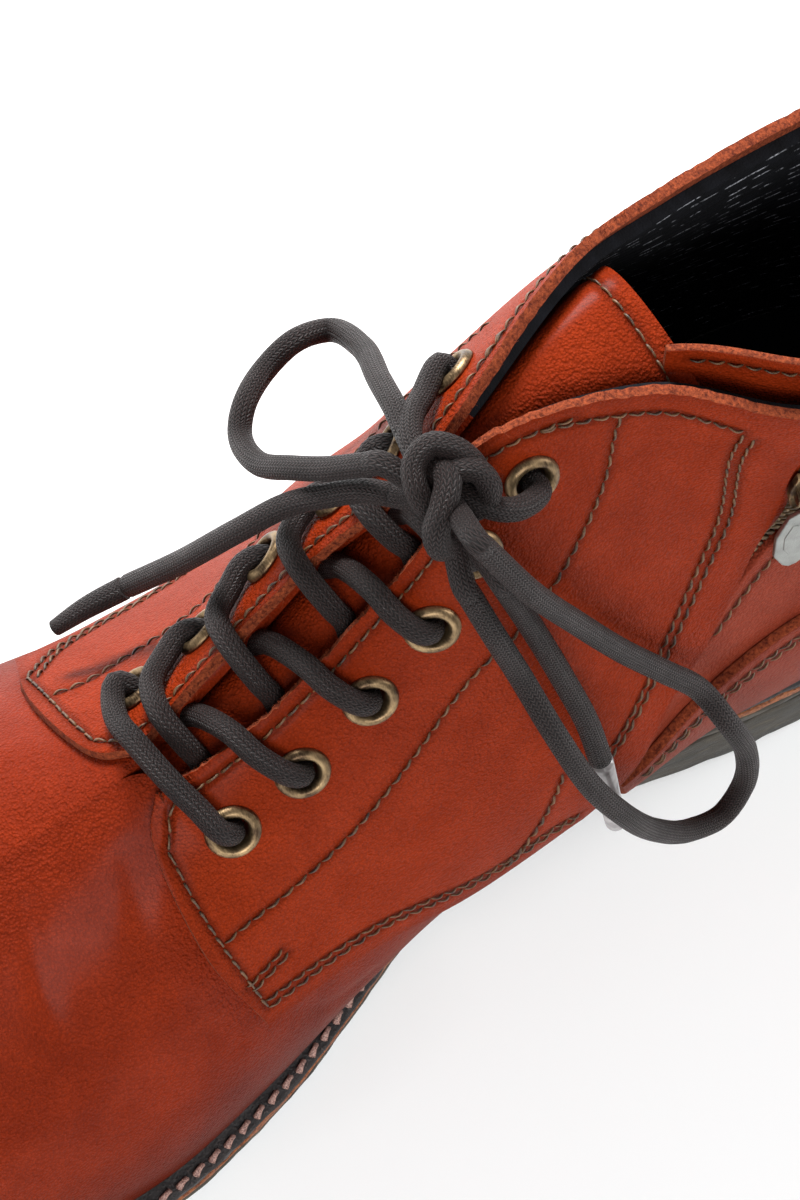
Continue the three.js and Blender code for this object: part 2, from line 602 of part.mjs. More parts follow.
add('lace_bar', tube([
  eyeletCentre(1, 0), rimPlace(1, EYELET_ROWS[0], overQuarter), gapPlace(1, EYELET_ROWS[0], laceDiameter, 2.6),
  rimPlace(-1, EYELET_ROWS[0], overQuarter), eyeletCentre(-1, 0),
], laceDiameter, 8), cottonLace);
for (let k = 1; k < 5; k += 1) add(`lace_cross_${k + 1}`, join([strand(1, k), strand(-1, k)]), cottonLace);

// Bow: the knot with its stubs, two loops and two ends, each along points chosen by hand
const point = ([x, y, z]) => vec(x, y, z);
const KNOT = [2.2, 55.6, 139];
const LOOP_MEDIAL = [[14.8, 53.6, 144.8], [21, 60.7, 132.2], [25.1, 70.8, 115.6], [28.9, 80.8, 99.8], [32.6, 90.4, 86.4],
  [36, 97.5, 76.9], [41.5, 100.6, 71], [44.5, 106.5, 56.1], [46.5, 107.8, 43.5], [48, 103.7, 38.4], [48, 96, 41.7],
  [47.5, 85.7, 54.6], [46, 74.5, 74.7], [42, 68.6, 85.8], [34.5, 63.4, 99.4], [26, 60.9, 107.9], [20.5, 56.7, 119.6],
  [15.5, 54.2, 127.2]];
const END_MEDIAL = [[17.7, 58.8, 129.6], [22.3, 64.9, 113.8], [28, 70.2, 98.8], [33.2, 73.9, 87.2], [37, 76.5, 76.2]];
const TIP_MEDIAL = [[37.3, 76.7, 75.4], [39.8, 78.9, 64.9], [41.4, 83.4, 48.2]];
const LOOP_LATERAL = [[-9, 57.3, 137.2], [-14.5, 59.6, 133.7], [-22, 63.2, 126.4], [-32, 69.2, 113.7], [-40, 70.3, 104.3],
  [-41, 64.1, 105.3], [-40, 57.9, 103.2], [-36, 50.7, 104.5], [-32, 47.2, 104.4], [-24.5, 44.4, 111.2],
  [-18, 45, 121.1], [-13, 47, 128.2], [-8.2, 49.9, 135.9]];
const END_LATERAL = [[-3.5, 51.9, 131], [-7, 49.5, 128.6], [-10.6, 46.2, 123.5], [-14, 41.8, 118.5], [-17.1, 36.1, 109.1],
  [-22.2, 31.6, 91.9], [-28, 27.8, 74.8]];
const TIP_LATERAL = [[-28.4, 27, 73.7], [-30, 21.4, 69], [-31, 16.6, 64.3]];

// A short stub of the knot ends face to face with each cord that leaves it.
function stub(cord) {
  const [end, next] = cord.map(point);
  const away = end.clone().sub(next).normalize();
  const back = (distance) => end.clone().addScaledVector(away, distance);
  return tube([point(KNOT), back(clearance + 1.5), back(clearance)], laceDiameter, 2);
}
function knot() {
  const body = new THREE.SphereGeometry(1, 8, 5).scale(8, 7.5, 6).translate(...KNOT);
  const [m, l] = [1, -1].map((side) => eyeletCentre(side, 5));
  const tails = [[KNOT, [8.5, 60, 140], [8.5, 67, 140], m.toArray()], [KNOT, [-4, 60, 143.5], [-9.9, 66, 142.6], l.toArray()]];
  const leaving = [LOOP_MEDIAL, LOOP_LATERAL, END_MEDIAL, END_LATERAL, LOOP_MEDIAL.toReversed(), LOOP_LATERAL.toReversed()];
  return join([body, ...tails.map((p) => tube(p.map(point), laceDiameter, 3)), ...leaving.map((p) => stub(p.slice(0, 2)))]);
}
add('lace_knot', knot(), cottonLace);
add('lace_loop_medial', tube(LOOP_MEDIAL.map(point), laceDiameter, 17), cottonLace);
add('lace_loop_lateral', tube(LOOP_LATERAL.map(point), laceDiameter, 14), cottonLace);
add('lace_end_medial', tube(END_MEDIAL.map(point), laceDiameter, 5), cottonLace);
add('lace_end_lateral', tube(END_LATERAL.map(point), laceDiameter, 7), cottonLace);
add('lace_tip_medial', tube(TIP_MEDIAL.map(point), agletDiameter, 3), plasticTip);
add('lace_tip_lateral', tube(TIP_LATERAL.map(point), agletDiameter, 2), cottonLace);

export default boot;
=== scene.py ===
# %% [markdown]
# # A lace up ankle boot
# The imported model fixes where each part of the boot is. This lesson dresses those parts: leather with
# its grain, raw edges and thread, a braided lace tied in a bow, a welted sole and a small metal zip.
# Lengths are given in millimetres in the tables and turned into metres where a mesh is made.

# %% Load the frame
import math

import bmesh
import bpy
import numpy as np
from mathutils import Matrix, Vector, noise


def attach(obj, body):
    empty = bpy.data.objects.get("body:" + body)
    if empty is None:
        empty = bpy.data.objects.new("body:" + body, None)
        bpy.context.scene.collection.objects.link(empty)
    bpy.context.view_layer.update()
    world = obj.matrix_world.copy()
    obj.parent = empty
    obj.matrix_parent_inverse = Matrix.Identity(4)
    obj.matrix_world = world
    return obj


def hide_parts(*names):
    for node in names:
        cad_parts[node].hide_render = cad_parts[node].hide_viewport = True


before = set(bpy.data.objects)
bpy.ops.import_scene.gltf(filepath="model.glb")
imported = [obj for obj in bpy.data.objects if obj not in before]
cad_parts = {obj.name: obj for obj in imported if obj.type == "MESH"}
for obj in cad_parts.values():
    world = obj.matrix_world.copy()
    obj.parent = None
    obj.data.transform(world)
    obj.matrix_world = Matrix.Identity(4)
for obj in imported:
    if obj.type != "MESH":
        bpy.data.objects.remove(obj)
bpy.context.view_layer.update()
MM = 0.001
rng = np.random.default_rng(7)

# %% [markdown]
# ## Camera
# The photograph looks down on the inner side of the boot, turned in the picture. The camera is a long
# lens a metre away, so the boot shows hardly any perspective.

# %% Camera
AZIMUTH, ELEVATION, ROLL = 34.22, 65.0, 23.0
LOOK_AT = np.array([0, 54, 60])
SHIFT_MM = (-9.27, -13.22)
DISTANCE = 1000
PICTURE_HEIGHT = 1200
FOCAL_PIXELS = 6071.6
SENSOR = 36

azimuth, elevation, roll = (math.radians(a) for a in (AZIMUTH, ELEVATION, ROLL))
right = np.array([math.cos(azimuth), math.sin(azimuth), 0])
towards = np.array([math.sin(azimuth) * math.cos(elevation), -math.cos(azimuth) * math.cos(elevation),
                    math.sin(elevation)])
above = np.cross(towards, right)
camera_x = math.cos(roll) * right + math.sin(roll) * above
camera_y = -math.sin(roll) * right + math.cos(roll) * above
place = LOOK_AT + DISTANCE * towards - SHIFT_MM[0] * camera_x - SHIFT_MM[1] * camera_y
bpy.ops.object.camera_add()
camera = bpy.context.object
camera.name = "camera"
turn = Matrix(np.stack([camera_x, camera_y, towards], axis=1).tolist()).to_4x4()
camera.matrix_world = Matrix.Translation(Vector(place * MM)) @ turn
camera.data.sensor_fit = "VERTICAL"
camera.data.sensor_height = SENSOR
camera.data.lens = FOCAL_PIXELS * SENSOR / PICTURE_HEIGHT
camera.data.clip_end = 20
bpy.context.scene.camera = camera

# %% [markdown]
# ## The last as a function
# A bootmaker pulls the leather over a last. Here the last is a table of sections, each a curve from the
# sole's edge to the rim, and a smooth line runs through the sections round the boot. A place on it is
# a pair: u counts the sections (0 at the toe, 15 at the back of the heel, negative on the outer side)
# and v runs from the sole (0) to the rim (1). Every panel, stitch and eyelet is placed by such pairs.

# %% The last
BOOT_LENGTH, BALL_WIDTH, COLLAR_WIDTH, COLLAR_HEIGHT = 300, 90, 54, 144
BALL_PLACE, HEEL_FLAT_END, ARCH_END, TOE_SPRING_START, HEEL_BREAST = 0.68, 0.2, 0.583, 0.773, 0.323
HEEL_RISE, TOE_SPRING, WELT_TOP = 17.7, 8.7, 9.0
UPPER_WALL = 2.2
FEATHER_GAP = 0.3
# s, medial, lateral, rim s, rim half, rim shift, rim z, rim drop, medial belly, lateral belly, rise,
# back, medial out, lateral out, down
SECTIONS = np.array([
    [0.983, 0, 0, 0.88, 0, 0, 0.375, 0, 0.044, 0.044, 0.153, 0.073, 0, 0, 0.014],
    [0.957, 0.489, 0.4, 0.873, 0, 0, 0.378, 0, 0.044, 0.044, 0.153, 0.047, 0.289, 0.289, 0.014],
    [0.887, 0.844, 0.744, 0.847, 0, 0, 0.392, 0, 0.067, 0.067, 0.167, 0.013, 0.489, 0.489, 0.01],
    [0.793, 0.989, 0.944, 0.8, 0, 0, 0.417, 0, 0.089, 0.089, 0.181, 0, 0.578, 0.578, 0.007],
    [0.7, 1.022, 0.989, 0.737, 0, 0, 0.458, 0, 0.089, 0.089, 0.181, 0, 0.6, 0.6, 0.01],
    [0.62, 0.922, 0.944, 0.657, 0, 0, 0.535, 0, 0.156, 0.111, 0.194, 0, 0.556, 0.25, 0.021],
    [0.55, 0.778, 0.856, 0.63, 0.14, 0.06, 0.562, 0, 0.267, 0.133, 0.194, 0, 0.444, 0.24, 0.049],
    [0.48, 0.656, 0.789, 0.58, 0.2, 0.015, 0.639, 0, 0.378, 0.156, 0.201, 0, 0.444, 0.22, 0.097],
    [0.41, 0.6, 0.733, 0.527, 0.19, -0.05, 0.743, 0, 0.467, 0.156, 0.208, 0, 0.444, 0.43, 0.125],
    [0.35, 0.6, 0.711, 0.49, 0.13, -0.05, 0.847, 0, 0.467, 0.178, 0.208, 0, 0.422, 0.445, 0.139],
    [0.297, 0.633, 0.711, 0.457, 0.066, -0.171, 0.958, 0, 0.333, 0.178, 0.229, 0, 0.378, 0.41, 0.153],
    [0.24, 0.678, 0.722, 0.37, 0.41, -0.225, 0.993, 0, 0.178, 0.156, 0.264, 0, 0.178, 0.21, 0.208],
    [0.17, 0.7, 0.722, 0.293, 0.784, -0.014, 0.958, 0, 0.111, 0.111, 0.25, 0, 0.044, 0.048, 0.243],
    [0.097, 0.633, 0.633, 0.193, 0.93, 0.07, 0.944, 0.021, 0.089, 0.089, 0.236, 0, 0, 0, 0.25],
    [0.04, 0.422, 0.422, 0.083, 0.78, 0, 0.931, 0.014, 0.089, 0.089, 0.208, 0.003, -0.022, -0.022, 0.264],
    [0.017, 0, 0, 0.043, 0, 0, 0.944, 0, 0.111, 0.111, 0.194, 0.01, 0, 0, 0.264],
])
HEEL_ROW = len(SECTIONS) - 1
RING = 2 * HEEL_ROW
THROAT_ROW = 5
EYELET_ROWS = (6.1, 6.93, 7.71, 8.58, 9.4, 10.19)


def section_lengths(row, side):
    (s, medial, lateral, rim_s, rim_half, rim_shift, rim_z, rim_drop, medial_belly, lateral_belly, rise,
     back, medial_out, lateral_out, down) = SECTIONS[row]
    w, c, h = BALL_WIDTH / 2, COLLAR_WIDTH / 2, COLLAR_HEIGHT
    inner = side > 0
    return [s * BOOT_LENGTH, side * w * (medial if inner else lateral), rim_s * BOOT_LENGTH,
            c * (rim_shift + side * rim_half), h * (rim_z - (0 if inner else rim_drop)),
            w * (medial_belly if inner else lateral_belly), h * rise, BOOT_LENGTH * back,
            side * w * (medial_out if inner else lateral_out), h * down]


RING_ROWS = np.array([section_lengths(row, 1) for row in range(RING // 2 + 1)]
                     + [section_lengths(row, -1) for row in range(RING // 2 - 1, 0, -1)])


def smoothstep(t):
    t = np.clip(t, 0, 1)
    return t * t * (3 - 2 * t)


def ring_at(u):
    u = np.asarray(u, float)
    i = np.floor(u).astype(int)
    t = (u - i)[..., None]
    a, b, c, d = (RING_ROWS[(i + k) % RING] for k in (-1, 0, 1, 2))
    return 0.5 * (2 * b + (c - a) * t + (2 * a - 5 * b + 4 * c - d) * t**2 + (3 * b - a - 3 * c + d) * t**3)


def on_ridge(u):
    return np.abs((np.asarray(u) + HEEL_ROW) % RING - HEEL_ROW) <= THROAT_ROW + 1e-6


def sole_lift(s):
    share = np.asarray(s) / BOOT_LENGTH
    heel = 1 - smoothstep((share - HEEL_FLAT_END) / (ARCH_END - HEEL_FLAT_END))
    toe = np.maximum(0, (share - TOE_SPRING_START) / (1 - TOE_SPRING_START)) ** 1.8
    return HEEL_RISE * heel + TOE_SPRING * toe


def feather_outward(u):
    step = ring_at(np.asarray(u) + 1e-3)[..., :2] - ring_at(np.asarray(u) - 1e-3)[..., :2]
    step /= np.linalg.norm(step, axis=-1, keepdims=True)
    return np.stack([step[..., 1], -step[..., 0]], axis=-1)


def last(u, v):
    """Points of the outer face of the upper, in millimetres."""
    u, v = np.broadcast_arrays(np.asarray(u, float), np.asarray(v, float))
    s, x, rim_s, rim_x, rim_z, belly, rise, back, out, down = np.moveaxis(ring_at(u), -1, 0)
    outward = feather_outward(u)
    rim_x = np.where(on_ridge(u), 0, rim_x)
    foot_z = sole_lift(s) + WELT_TOP + FEATHER_GAP
    foot = np.stack([s, x, foot_z], -1)
    low = np.stack([s + outward[..., 0] * belly, x + outward[..., 1] * belly, foot_z + rise], -1)
    high = np.stack([rim_s + back, rim_x + out, rim_z - down], -1)
    rim = np.stack([rim_s, rim_x, rim_z], -1)
    v = v[..., None]
    w = 1 - v
    p = w**3 * foot + 3 * w * w * v * low + 3 * w * v * v * high + v**3 * rim
    return np.stack([p[..., 1], BALL_PLACE * BOOT_LENGTH - p[..., 0], p[..., 2]], -1)


def face_normal(u, v):
    e = 2e-3
    v = np.clip(v, e, 1 - e)
    n = np.cross(last(u + e, v) - last(u - e, v), last(u, v + e) - last(u, v - e))
    return n / np.linalg.norm(n, axis=-1, keepdims=True)


def last_normal(u, v):
    u, v = np.broadcast_arrays(np.asarray(u, float), np.asarray(v, float))
    n = face_normal(u, v)
    both = n + face_normal(-u, v)
    both /= np.maximum(np.linalg.norm(both, axis=-1, keepdims=True), 1e-9)
    return np.where(((v > 0.999) & on_ridge(u))[..., None], both, n)


def off_last(u, v, height=0.0):
    return last(u, v) + last_normal(u, v) * np.asarray(height)[..., None]


def below_rim(u, distance):
    v = np.linspace(1, 0.3, 300)
    points = last(np.full_like(v, u), v)
    walked = np.r_[0, np.cumsum(np.linalg.norm(np.diff(points, axis=0), axis=1))]
    return float(np.interp(distance, walked, v))


print("widest section", float(last(np.array(4.0), np.array(0.0))[0]), "mm from the middle")


# %% [markdown]
# ## Smooth lines
# A few listed places give a line, and a centripetal curve through them is the smooth line. It serves for the
# lace, for the edges of the leather panels and for the rows of stitches.

# %% Lines
def smooth_line(points, count):
    """Points at even steps of the parameter on a centripetal curve through the given points."""
    p = np.asarray(points, float)
    p = np.vstack([2 * p[0] - p[1], p, 2 * p[-1] - p[-2]])
    spans = len(points) - 1
    out = []
    for t in np.linspace(0, spans, count):
        i = min(int(t), spans - 1)
        w = t - i
        a, b, c, d = p[i:i + 4]
        d0, d1, d2 = (max(np.linalg.norm(q - r) ** 0.5, 1e-6) for q, r in ((b, a), (c, b), (d, c)))
        t1 = ((b - a) / d0 - (c - a) / (d0 + d1) + (c - b) / d1) * d1
        t2 = ((c - b) / d1 - (d - b) / (d1 + d2) + (d - c) / d2) * d1
        out.append((2 * w**3 - 3 * w**2 + 1) * b + (w**3 - 2 * w**2 + w) * t1
                   + (3 * w**2 - 2 * w**3) * c + (w**3 - w**2) * t2)
    return np.array(out)


def even_steps(points, step):
    """The same line with its points a fixed distance apart."""
    length = np.r_[0, np.cumsum(np.linalg.norm(np.diff(points, axis=0), axis=1))]
    count = max(2, round(length[-1] / step) + 1)
    at = np.linspace(0, length[-1], count)
    return np.stack([np.interp(at, length, points[:, k]) for k in range(3)], -1), length[-1]


def line_on_last(places, height, count=160):
    line = smooth_line(np.asarray(places, float), count)
    return off_last(line[:, 0], np.minimum(line[:, 1], 1), np.full(count, height))


# %% [markdown]
# ## Materials as expressions
# A shader is a sum of masks and noises. Written as Python expressions they read like the recipe: the
# class wraps a node's output, and each operator adds the Math node it stands for.

# %% Shader helper
class Value:
    def __init__(self, shader, socket):
        self.shader, self.socket = shader, socket

    def math(self, operation, other=None, swap=False):
        pair = (other, self) if swap else (self, other)
        inputs = {k: p for k, p in enumerate(pair) if p is not None}
        return self.shader.node("Math", inputs, operation=operation)

    def __add__(self, other):
        return self.math("ADD", other)

    def __sub__(self, other):
        return self.math("SUBTRACT", other)

    def __rsub__(self, other):
        return self.math("SUBTRACT", other, swap=True)

    def __mul__(self, other):
        return self.math("MULTIPLY", other)

    def __truediv__(self, other):
        return self.math("DIVIDE", other)

    __radd__, __rmul__ = __add__, __mul__


class Shader:
    def __init__(self, name, roughness=0.5, **fixed):
        self.material = bpy.data.materials.new(name)
        self.material.use_nodes = True
        self.tree = self.material.node_tree
        self.surface = next(n for n in self.tree.nodes if n.type == "BSDF_PRINCIPLED")
        self.surface.inputs["Roughness"].default_value = roughness
        for key, value in fixed.items():
            self.surface.inputs[key.replace("_", " ")].default_value = value

    def node(self, kind, inputs=None, output=0, **settings):
        made = self.tree.nodes.new("ShaderNode" + kind)
        for key, value in settings.items():
            setattr(made, key, value)
        for key, value in (inputs or {}).items():
            if isinstance(value, Value):
                self.tree.links.new(value.socket, made.inputs[key])
            else:
                made.inputs[key].default_value = value
        return Value(self, made.outputs[output])

    def set(self, key, value):
        self.tree.links.new(value.socket, self.surface.inputs[key])

    def place(self, scale=(1, 1, 1)):
        where = self.node("TexCoord", output="Object")
        return self.node("Mapping", {"Vector": where, "Scale": scale})

    def map(self, name):
        return self.node("UVMap", uv_map=name)

    def attribute(self, name):
        return self.node("Attribute", output="Fac", attribute_name=name)

    def noise(self, scale, detail=3, where=None, roughness=0.5):
        inputs = {"Scale": scale, "Detail": detail, "Roughness": roughness}
        return self.node("TexNoise", {**inputs, "Vector": where or self.place()})

    def soft_cells(self, scale, smooth):
        inputs = {"Scale": scale, "Vector": self.place(), "Smoothness": smooth}
        return self.node("TexVoronoi", inputs, output="Distance", feature="SMOOTH_F1")

    def band(self, value, low, high):
        return self.node("MapRange", {"Value": value, "From Min": low, "From Max": high})

    def mix(self, factor, a, b):
        made = self.tree.nodes.new("ShaderNodeMix")
        made.data_type = "RGBA"
        for key, value in ((0, factor), (6, a), (7, b)):
            if isinstance(value, Value):
                self.tree.links.new(value.socket, made.inputs[key])
            else:
                made.inputs[key].default_value = value if key == 0 else (*value, 1)
        return Value(self, made.outputs[2])

    def bump(self, height, depth, strength):
        return self.node("Bump", {"Height": height, "Distance": depth, "Strength": strength})


def srgb(red, green, blue):
    """A colour read off a screen, from 0 to 255, as the linear colour that a shader takes."""
    return tuple(((c / 255 + 0.055) / 1.055) ** 2.4 if c > 10 else c / 3294 for c in (red, green, blue))


# %% [markdown]
# ## The leather
# Full grain leather, dyed red-brown and waxed. Its pebbles are half a millimetre, its colour drifts between
# orange-brown and a deep red, and its wax gives a broad sheen. Its colour also darkens near the sole and
# beside each row of stitches, which is painted shade, and along edges. The masks come from attributes that
# the panels carry: `seam` is high beside a row of stitches, where shade in the groove is painted, and the
# other one is high along edges and towards the sole, where it paints shade low down.

# %% Leather
def leather_material(name, light, deep, grain=1.0, gloss=0.0):
    sh = Shader(name, roughness=0.5, Specular_IOR_Level=0.03, Coat_Roughness=0.24, Coat_IOR=1.4)
    seam, shade_and_edge_darkening = sh.attribute("seam"), sh.attribute("shade_and_edge_darkening")
    drift = sh.noise(14, 2)
    mottle = sh.noise(130, 3)
    tone = sh.band(drift * 0.6 + mottle * 0.4, 0.28, 0.68)
    colour = sh.mix(tone, deep, light)
    dark = tuple(0.3 * c for c in deep)
    # painted shade low on the boot, and darkening along edges, from the second mask
    colour = sh.mix(sh.band(shade_and_edge_darkening, 0.05, 1.0) * 0.75, colour, dark)
    # painted shade beside each row of stitches, in its pressed groove
    colour = sh.mix(sh.band(seam, 0.1, 1.0) * 0.65, colour, dark)
    pebble = sh.soft_cells(2000, 0.5)
    pores = sh.noise(2600, 2)
    flecks = sh.band(sh.noise(3400, 2), 0.56, 0.74)
    pits = sh.band(pebble, 0.2, 0.6)
    colour = sh.mix(pits * 0.3, colour, dark)
    colour = sh.mix(flecks * 0.1, colour, tuple(min(1, 1.7 * c + 0.03) for c in light))
    sh.set("Base Color", colour)
    sh.set("Roughness", sh.band(pores * 0.5 + drift * 0.5, 0.3, 0.7) * 0.16 + (0.46 - gloss))
    sh.set("Coat Weight", sh.band(mottle, 0.2, 0.8) * 0.05 + (0.035 + gloss))
    wrinkle = sh.band(sh.noise(1000, 4, roughness=0.6), 0.32, 0.68)
    height = (1 - pebble) * 1.1 + pores * 0.35 + wrinkle * 0.7
    sh.set("Normal", sh.bump(height, 0.00032 * grain, 0.95))
    return sh.material


LEATHER = leather_material("burnished_leather", srgb(150, 48, 13), srgb(119, 34, 8))
# A darker, glossier copy of the leather for the upper: its gloss is the finish, its darker colour is painted
# shade.
SHADE_PAINTED_VAMP_LEATHER = leather_material("vamp_leather_painted_shade", srgb(142, 44, 13), srgb(104, 28, 8), gloss=0.03)
# A paler, pinker copy of the leather for the rear piece and the counter: its colour paints the haze of
# reflection on them.
HAZE_PAINTED_LEATHER = leather_material("rear_leather_painted_haze", srgb(146, 62, 42), srgb(112, 40, 26), grain=0.8)


def edge_material():
    """The cut edge of the leather: undyed fibres, lighter and rough."""
    sh = Shader("raw_edge", roughness=0.9, Specular_IOR_Level=0.2)
    fibre = sh.noise(1500, 4, roughness=0.7)
    colour = sh.mix(sh.band(fibre, 0.35, 0.65), srgb(78, 27, 13), srgb(150, 70, 38))
    sh.set("Base Color", colour)
    sh.set("Normal", sh.bump(fibre, 0.0005, 0.9))
    return sh.material


RAW_EDGE = edge_material()


def lining_material():
    """A near-black cloth with short pale dashes where its weft floats."""
    sh = Shader("woven_lining", roughness=0.92, Specular_IOR_Level=0.15)
    where = sh.map("place_mm")
    wobble = sh.noise(0.35, 2, where=where)
    thread = sh.node("TexWave", {"Vector": where, "Scale": 0.11, "Distortion": 2.5, "Detail": 1.0},
                     bands_direction="Y")
    dash = sh.band(thread, 0.86, 0.97) * sh.band(sh.noise(0.28, 3, where=where), 0.53, 0.6)
    fine = sh.noise(2200, 2)
    base = sh.mix(sh.band(wobble, 0.3, 0.7), srgb(9, 9, 12), srgb(20, 21, 26))
    sh.set("Base Color", sh.mix(dash * sh.band(fine, 0.4, 0.55), base, srgb(196, 198, 206)))
    sh.set("Normal", sh.bump(thread * 0.6 + fine, 0.0003, 0.8))
    return sh.material


LINING = lining_material()


def thread_material():
    """Twisted thread, brown and gold by turns along its ply."""
    sh = Shader("waxed_thread", roughness=0.5, Specular_IOR_Level=0.5)
    fibre = sh.noise(5200, 2)
    drift = sh.noise(420, 2)
    colour = sh.mix(sh.band(fibre * 0.5 + drift * 0.5, 0.38, 0.62), srgb(28, 15, 8), srgb(112, 76, 42))
    sh.set("Base Color", colour)
    return sh.material


THREAD = thread_material()


def welt_thread_material():
    sh = Shader("welt_thread", roughness=0.6)
    fibre = sh.noise(3800, 2)
    sh.set("Base Color", sh.mix(sh.band(fibre, 0.35, 0.65), srgb(92, 60, 54), srgb(176, 138, 126)))
    return sh.material


WELT_THREAD = welt_thread_material()


# %% [markdown]
# ## Braided cotton lace
# The lace is braided round a core: carriers cross at a slant, so the cover shows rows of small Vs. The
# tube's own map gives turns round it and millimetres along it. A wave along the lace, shifted by a zigzag
# round it, makes the strokes, and a second wave the grooves between the rows. The colour follows them: the
# grooves get painted shade and the strokes painted highlight, and hairs and wear add tone.

# %% Lace material
BRAID_COLUMNS, BRAID_PITCH = 26, 0.8


def lace_material(name, light, dark):
    sh = Shader(name, roughness=0.62, Specular_IOR_Level=0.3)
    turn, along = (sh.node("SeparateXYZ", {"Vector": sh.map("lace_map")}, output=axis) for axis in "XY")
    # a zigzag over the columns: each crossing of two carriers shows as a small V
    zigzag = (turn * BRAID_COLUMNS).math("PINGPONG", 1.0)
    strokes = ((along / BRAID_PITCH + zigzag * 0.9) * math.tau).math("SINE")
    groove = (turn * (BRAID_COLUMNS * math.pi)).math("SINE").math("ABSOLUTE")
    hairs = sh.noise(4200, 3, roughness=0.65)
    wear = sh.noise(150, 3)
    weave = sh.band(strokes * 0.6 + groove * 0.9, -0.2, 1.2)
    # painted shade in the braid's grooves and painted highlight on its strokes, with tone from the hairs and
    # the wear
    tone = sh.band(weave * 0.6 + hairs * 0.8 + wear * 0.35, 0.62, 1.3)
    sh.set("Base Color", sh.mix(tone, dark, light))
    sh.set("Roughness", 0.7 - sh.band(weave + wear * 0.7, 0.8, 1.4) * 0.38)
    sh.set("Normal", sh.bump(weave + hairs * 0.6, 0.0004, 1.0))
    return sh.material


LACE = lace_material("braided_lace", srgb(49, 34, 32), srgb(6, 4, 4))


# %% [markdown]
# ## Tubes for the lace
# A lace is a tube along its route. A ring of points is carried along the line without twisting, each
# ring is joined to the next, and the map is written while the rings are made.

# %% Tubes
LACE_DIAMETER = 4.0
TUBE_SIDES, TUBE_STEP = 20, 0.9


def frames_along(line):
    tangents = np.gradient(line, axis=0)
    tangents /= np.linalg.norm(tangents, axis=1, keepdims=True)
    side = np.cross(tangents[0], [0.3, 0.2, 1])
    sides = []
    for t in tangents:
        side = side - t * np.dot(side, t)
        side /= np.linalg.norm(side)
        sides.append(side)
    sides = np.array(sides)
    return tangents, sides, np.cross(tangents, sides)


def ring_faces(rings, sides):
    """The faces between rings that follow one another, each with the same count of points."""
    faces = []
    for low in range(0, (rings - 1) * sides, sides):
        for k in range(sides):
            n = (k + 1) % sides
            faces.append((low + k, low + n, low + sides + n, low + sides + k))
    return faces


def mesh_object(name, points, faces, material, smooth=True):
    """A mesh at the origin from points in millimetres."""
    mesh = bpy.data.meshes.new(name)
    mesh.from_pydata((np.asarray(points) * MM).tolist(), [], [tuple(f) for f in faces])
    mesh.update()
    made = bpy.data.objects.new(name, mesh)
    bpy.context.scene.collection.objects.link(made)
    mesh.materials.append(material)
    if smooth:
        mesh.shade_smooth()
    return made


def tube(name, route, diameter, material, taper=None, start=0.0):
    sides = TUBE_SIDES
    line, length = even_steps(smooth_line(route, 24 * len(route)), TUBE_STEP)
    _, a, b = frames_along(line)
    count = len(line)
    turns = np.linspace(0, math.tau, sides, endpoint=False)
    radius = np.full(count, diameter / 2)
    if taper is not None:
        radius *= taper(np.linspace(0, 1, count))
    ring = np.cos(turns)[None, :, None] * a[:, None] + np.sin(turns)[None, :, None] * b[:, None]
    points = (line[:, None] + radius[:, None, None] * ring).reshape(-1, 3)
    faces, maps = ring_faces(count, sides), []
    for i in range(count - 1):
        for k in range(sides):
            low, high = start + i * length / (count - 1), start + (i + 1) * length / (count - 1)
            maps += [(k / sides, low), ((k + 1) / sides, low), ((k + 1) / sides, high), (k / sides, high)]
    points = np.vstack([points, line[0], line[-1]])
    for k in range(sides):
        n = (k + 1) % sides
        faces.append((count * sides, n, k))
        faces.append((count * sides + 1, (count - 1) * sides + k, (count - 1) * sides + n))
        maps += [(0.5, 0), (0, 0), (0, 0), (0.5, 0), (0, 0), (0, 0)]
    made = mesh_object(name, points, faces, material)
    layer = made.data.uv_layers.new(name="lace_map")
    layer.data.foreach_set("uv", np.array(maps, dtype=float).ravel())
    return made, line, length


# %% [markdown]
# ## The bow
# The two loops and the two ends are free cords. They leave the knot and lie over the facings. Their points
# are listed from the knot outwards. An aglet closes the end on the inner side, and the end on the outer side
# is seared.

# %% The bow's free cords
KNOT = np.array([2.2, 55.6, 139])
LOOP_MEDIAL = [[14.8, 53.6, 144.8], [21, 60.7, 132.2], [25.1, 70.8, 115.6], [28.9, 80.8, 99.8],
               [32.6, 90.4, 86.4], [36, 97.5, 76.9], [41.5, 100.6, 71], [44.5, 106.5, 56.1],
               [46.5, 107.8, 43.5], [48, 103.7, 38.4], [48, 96, 41.7], [47.5, 85.7, 54.6],
               [46, 74.5, 74.7], [42, 68.6, 85.8], [34.5, 63.4, 99.4], [26, 60.9, 107.9],
               [20.5, 56.7, 119.6], [15.5, 54.2, 127.2]]
END_MEDIAL = [[17.7, 58.8, 129.6], [22.3, 64.9, 113.8], [28, 70.2, 98.8], [33.2, 73.9, 87.2],
              [37, 76.5, 76.2]]
TIP_MEDIAL = [[37.3, 76.7, 75.4], [39.8, 78.9, 64.9], [41.4, 83.4, 48.2]]
LOOP_LATERAL = [[-9, 57.3, 137.2], [-14.5, 59.6, 133.7], [-22, 63.2, 126.4], [-32, 69.2, 113.7],
                [-40, 70.3, 104.3], [-41, 64.1, 105.3], [-40, 57.9, 103.2], [-36, 50.7, 104.5],
                [-32, 47.2, 104.4], [-24.5, 44.4, 111.2], [-18, 45, 121.1],
                [-13, 47, 128.2], [-8.2, 49.9, 135.9]]
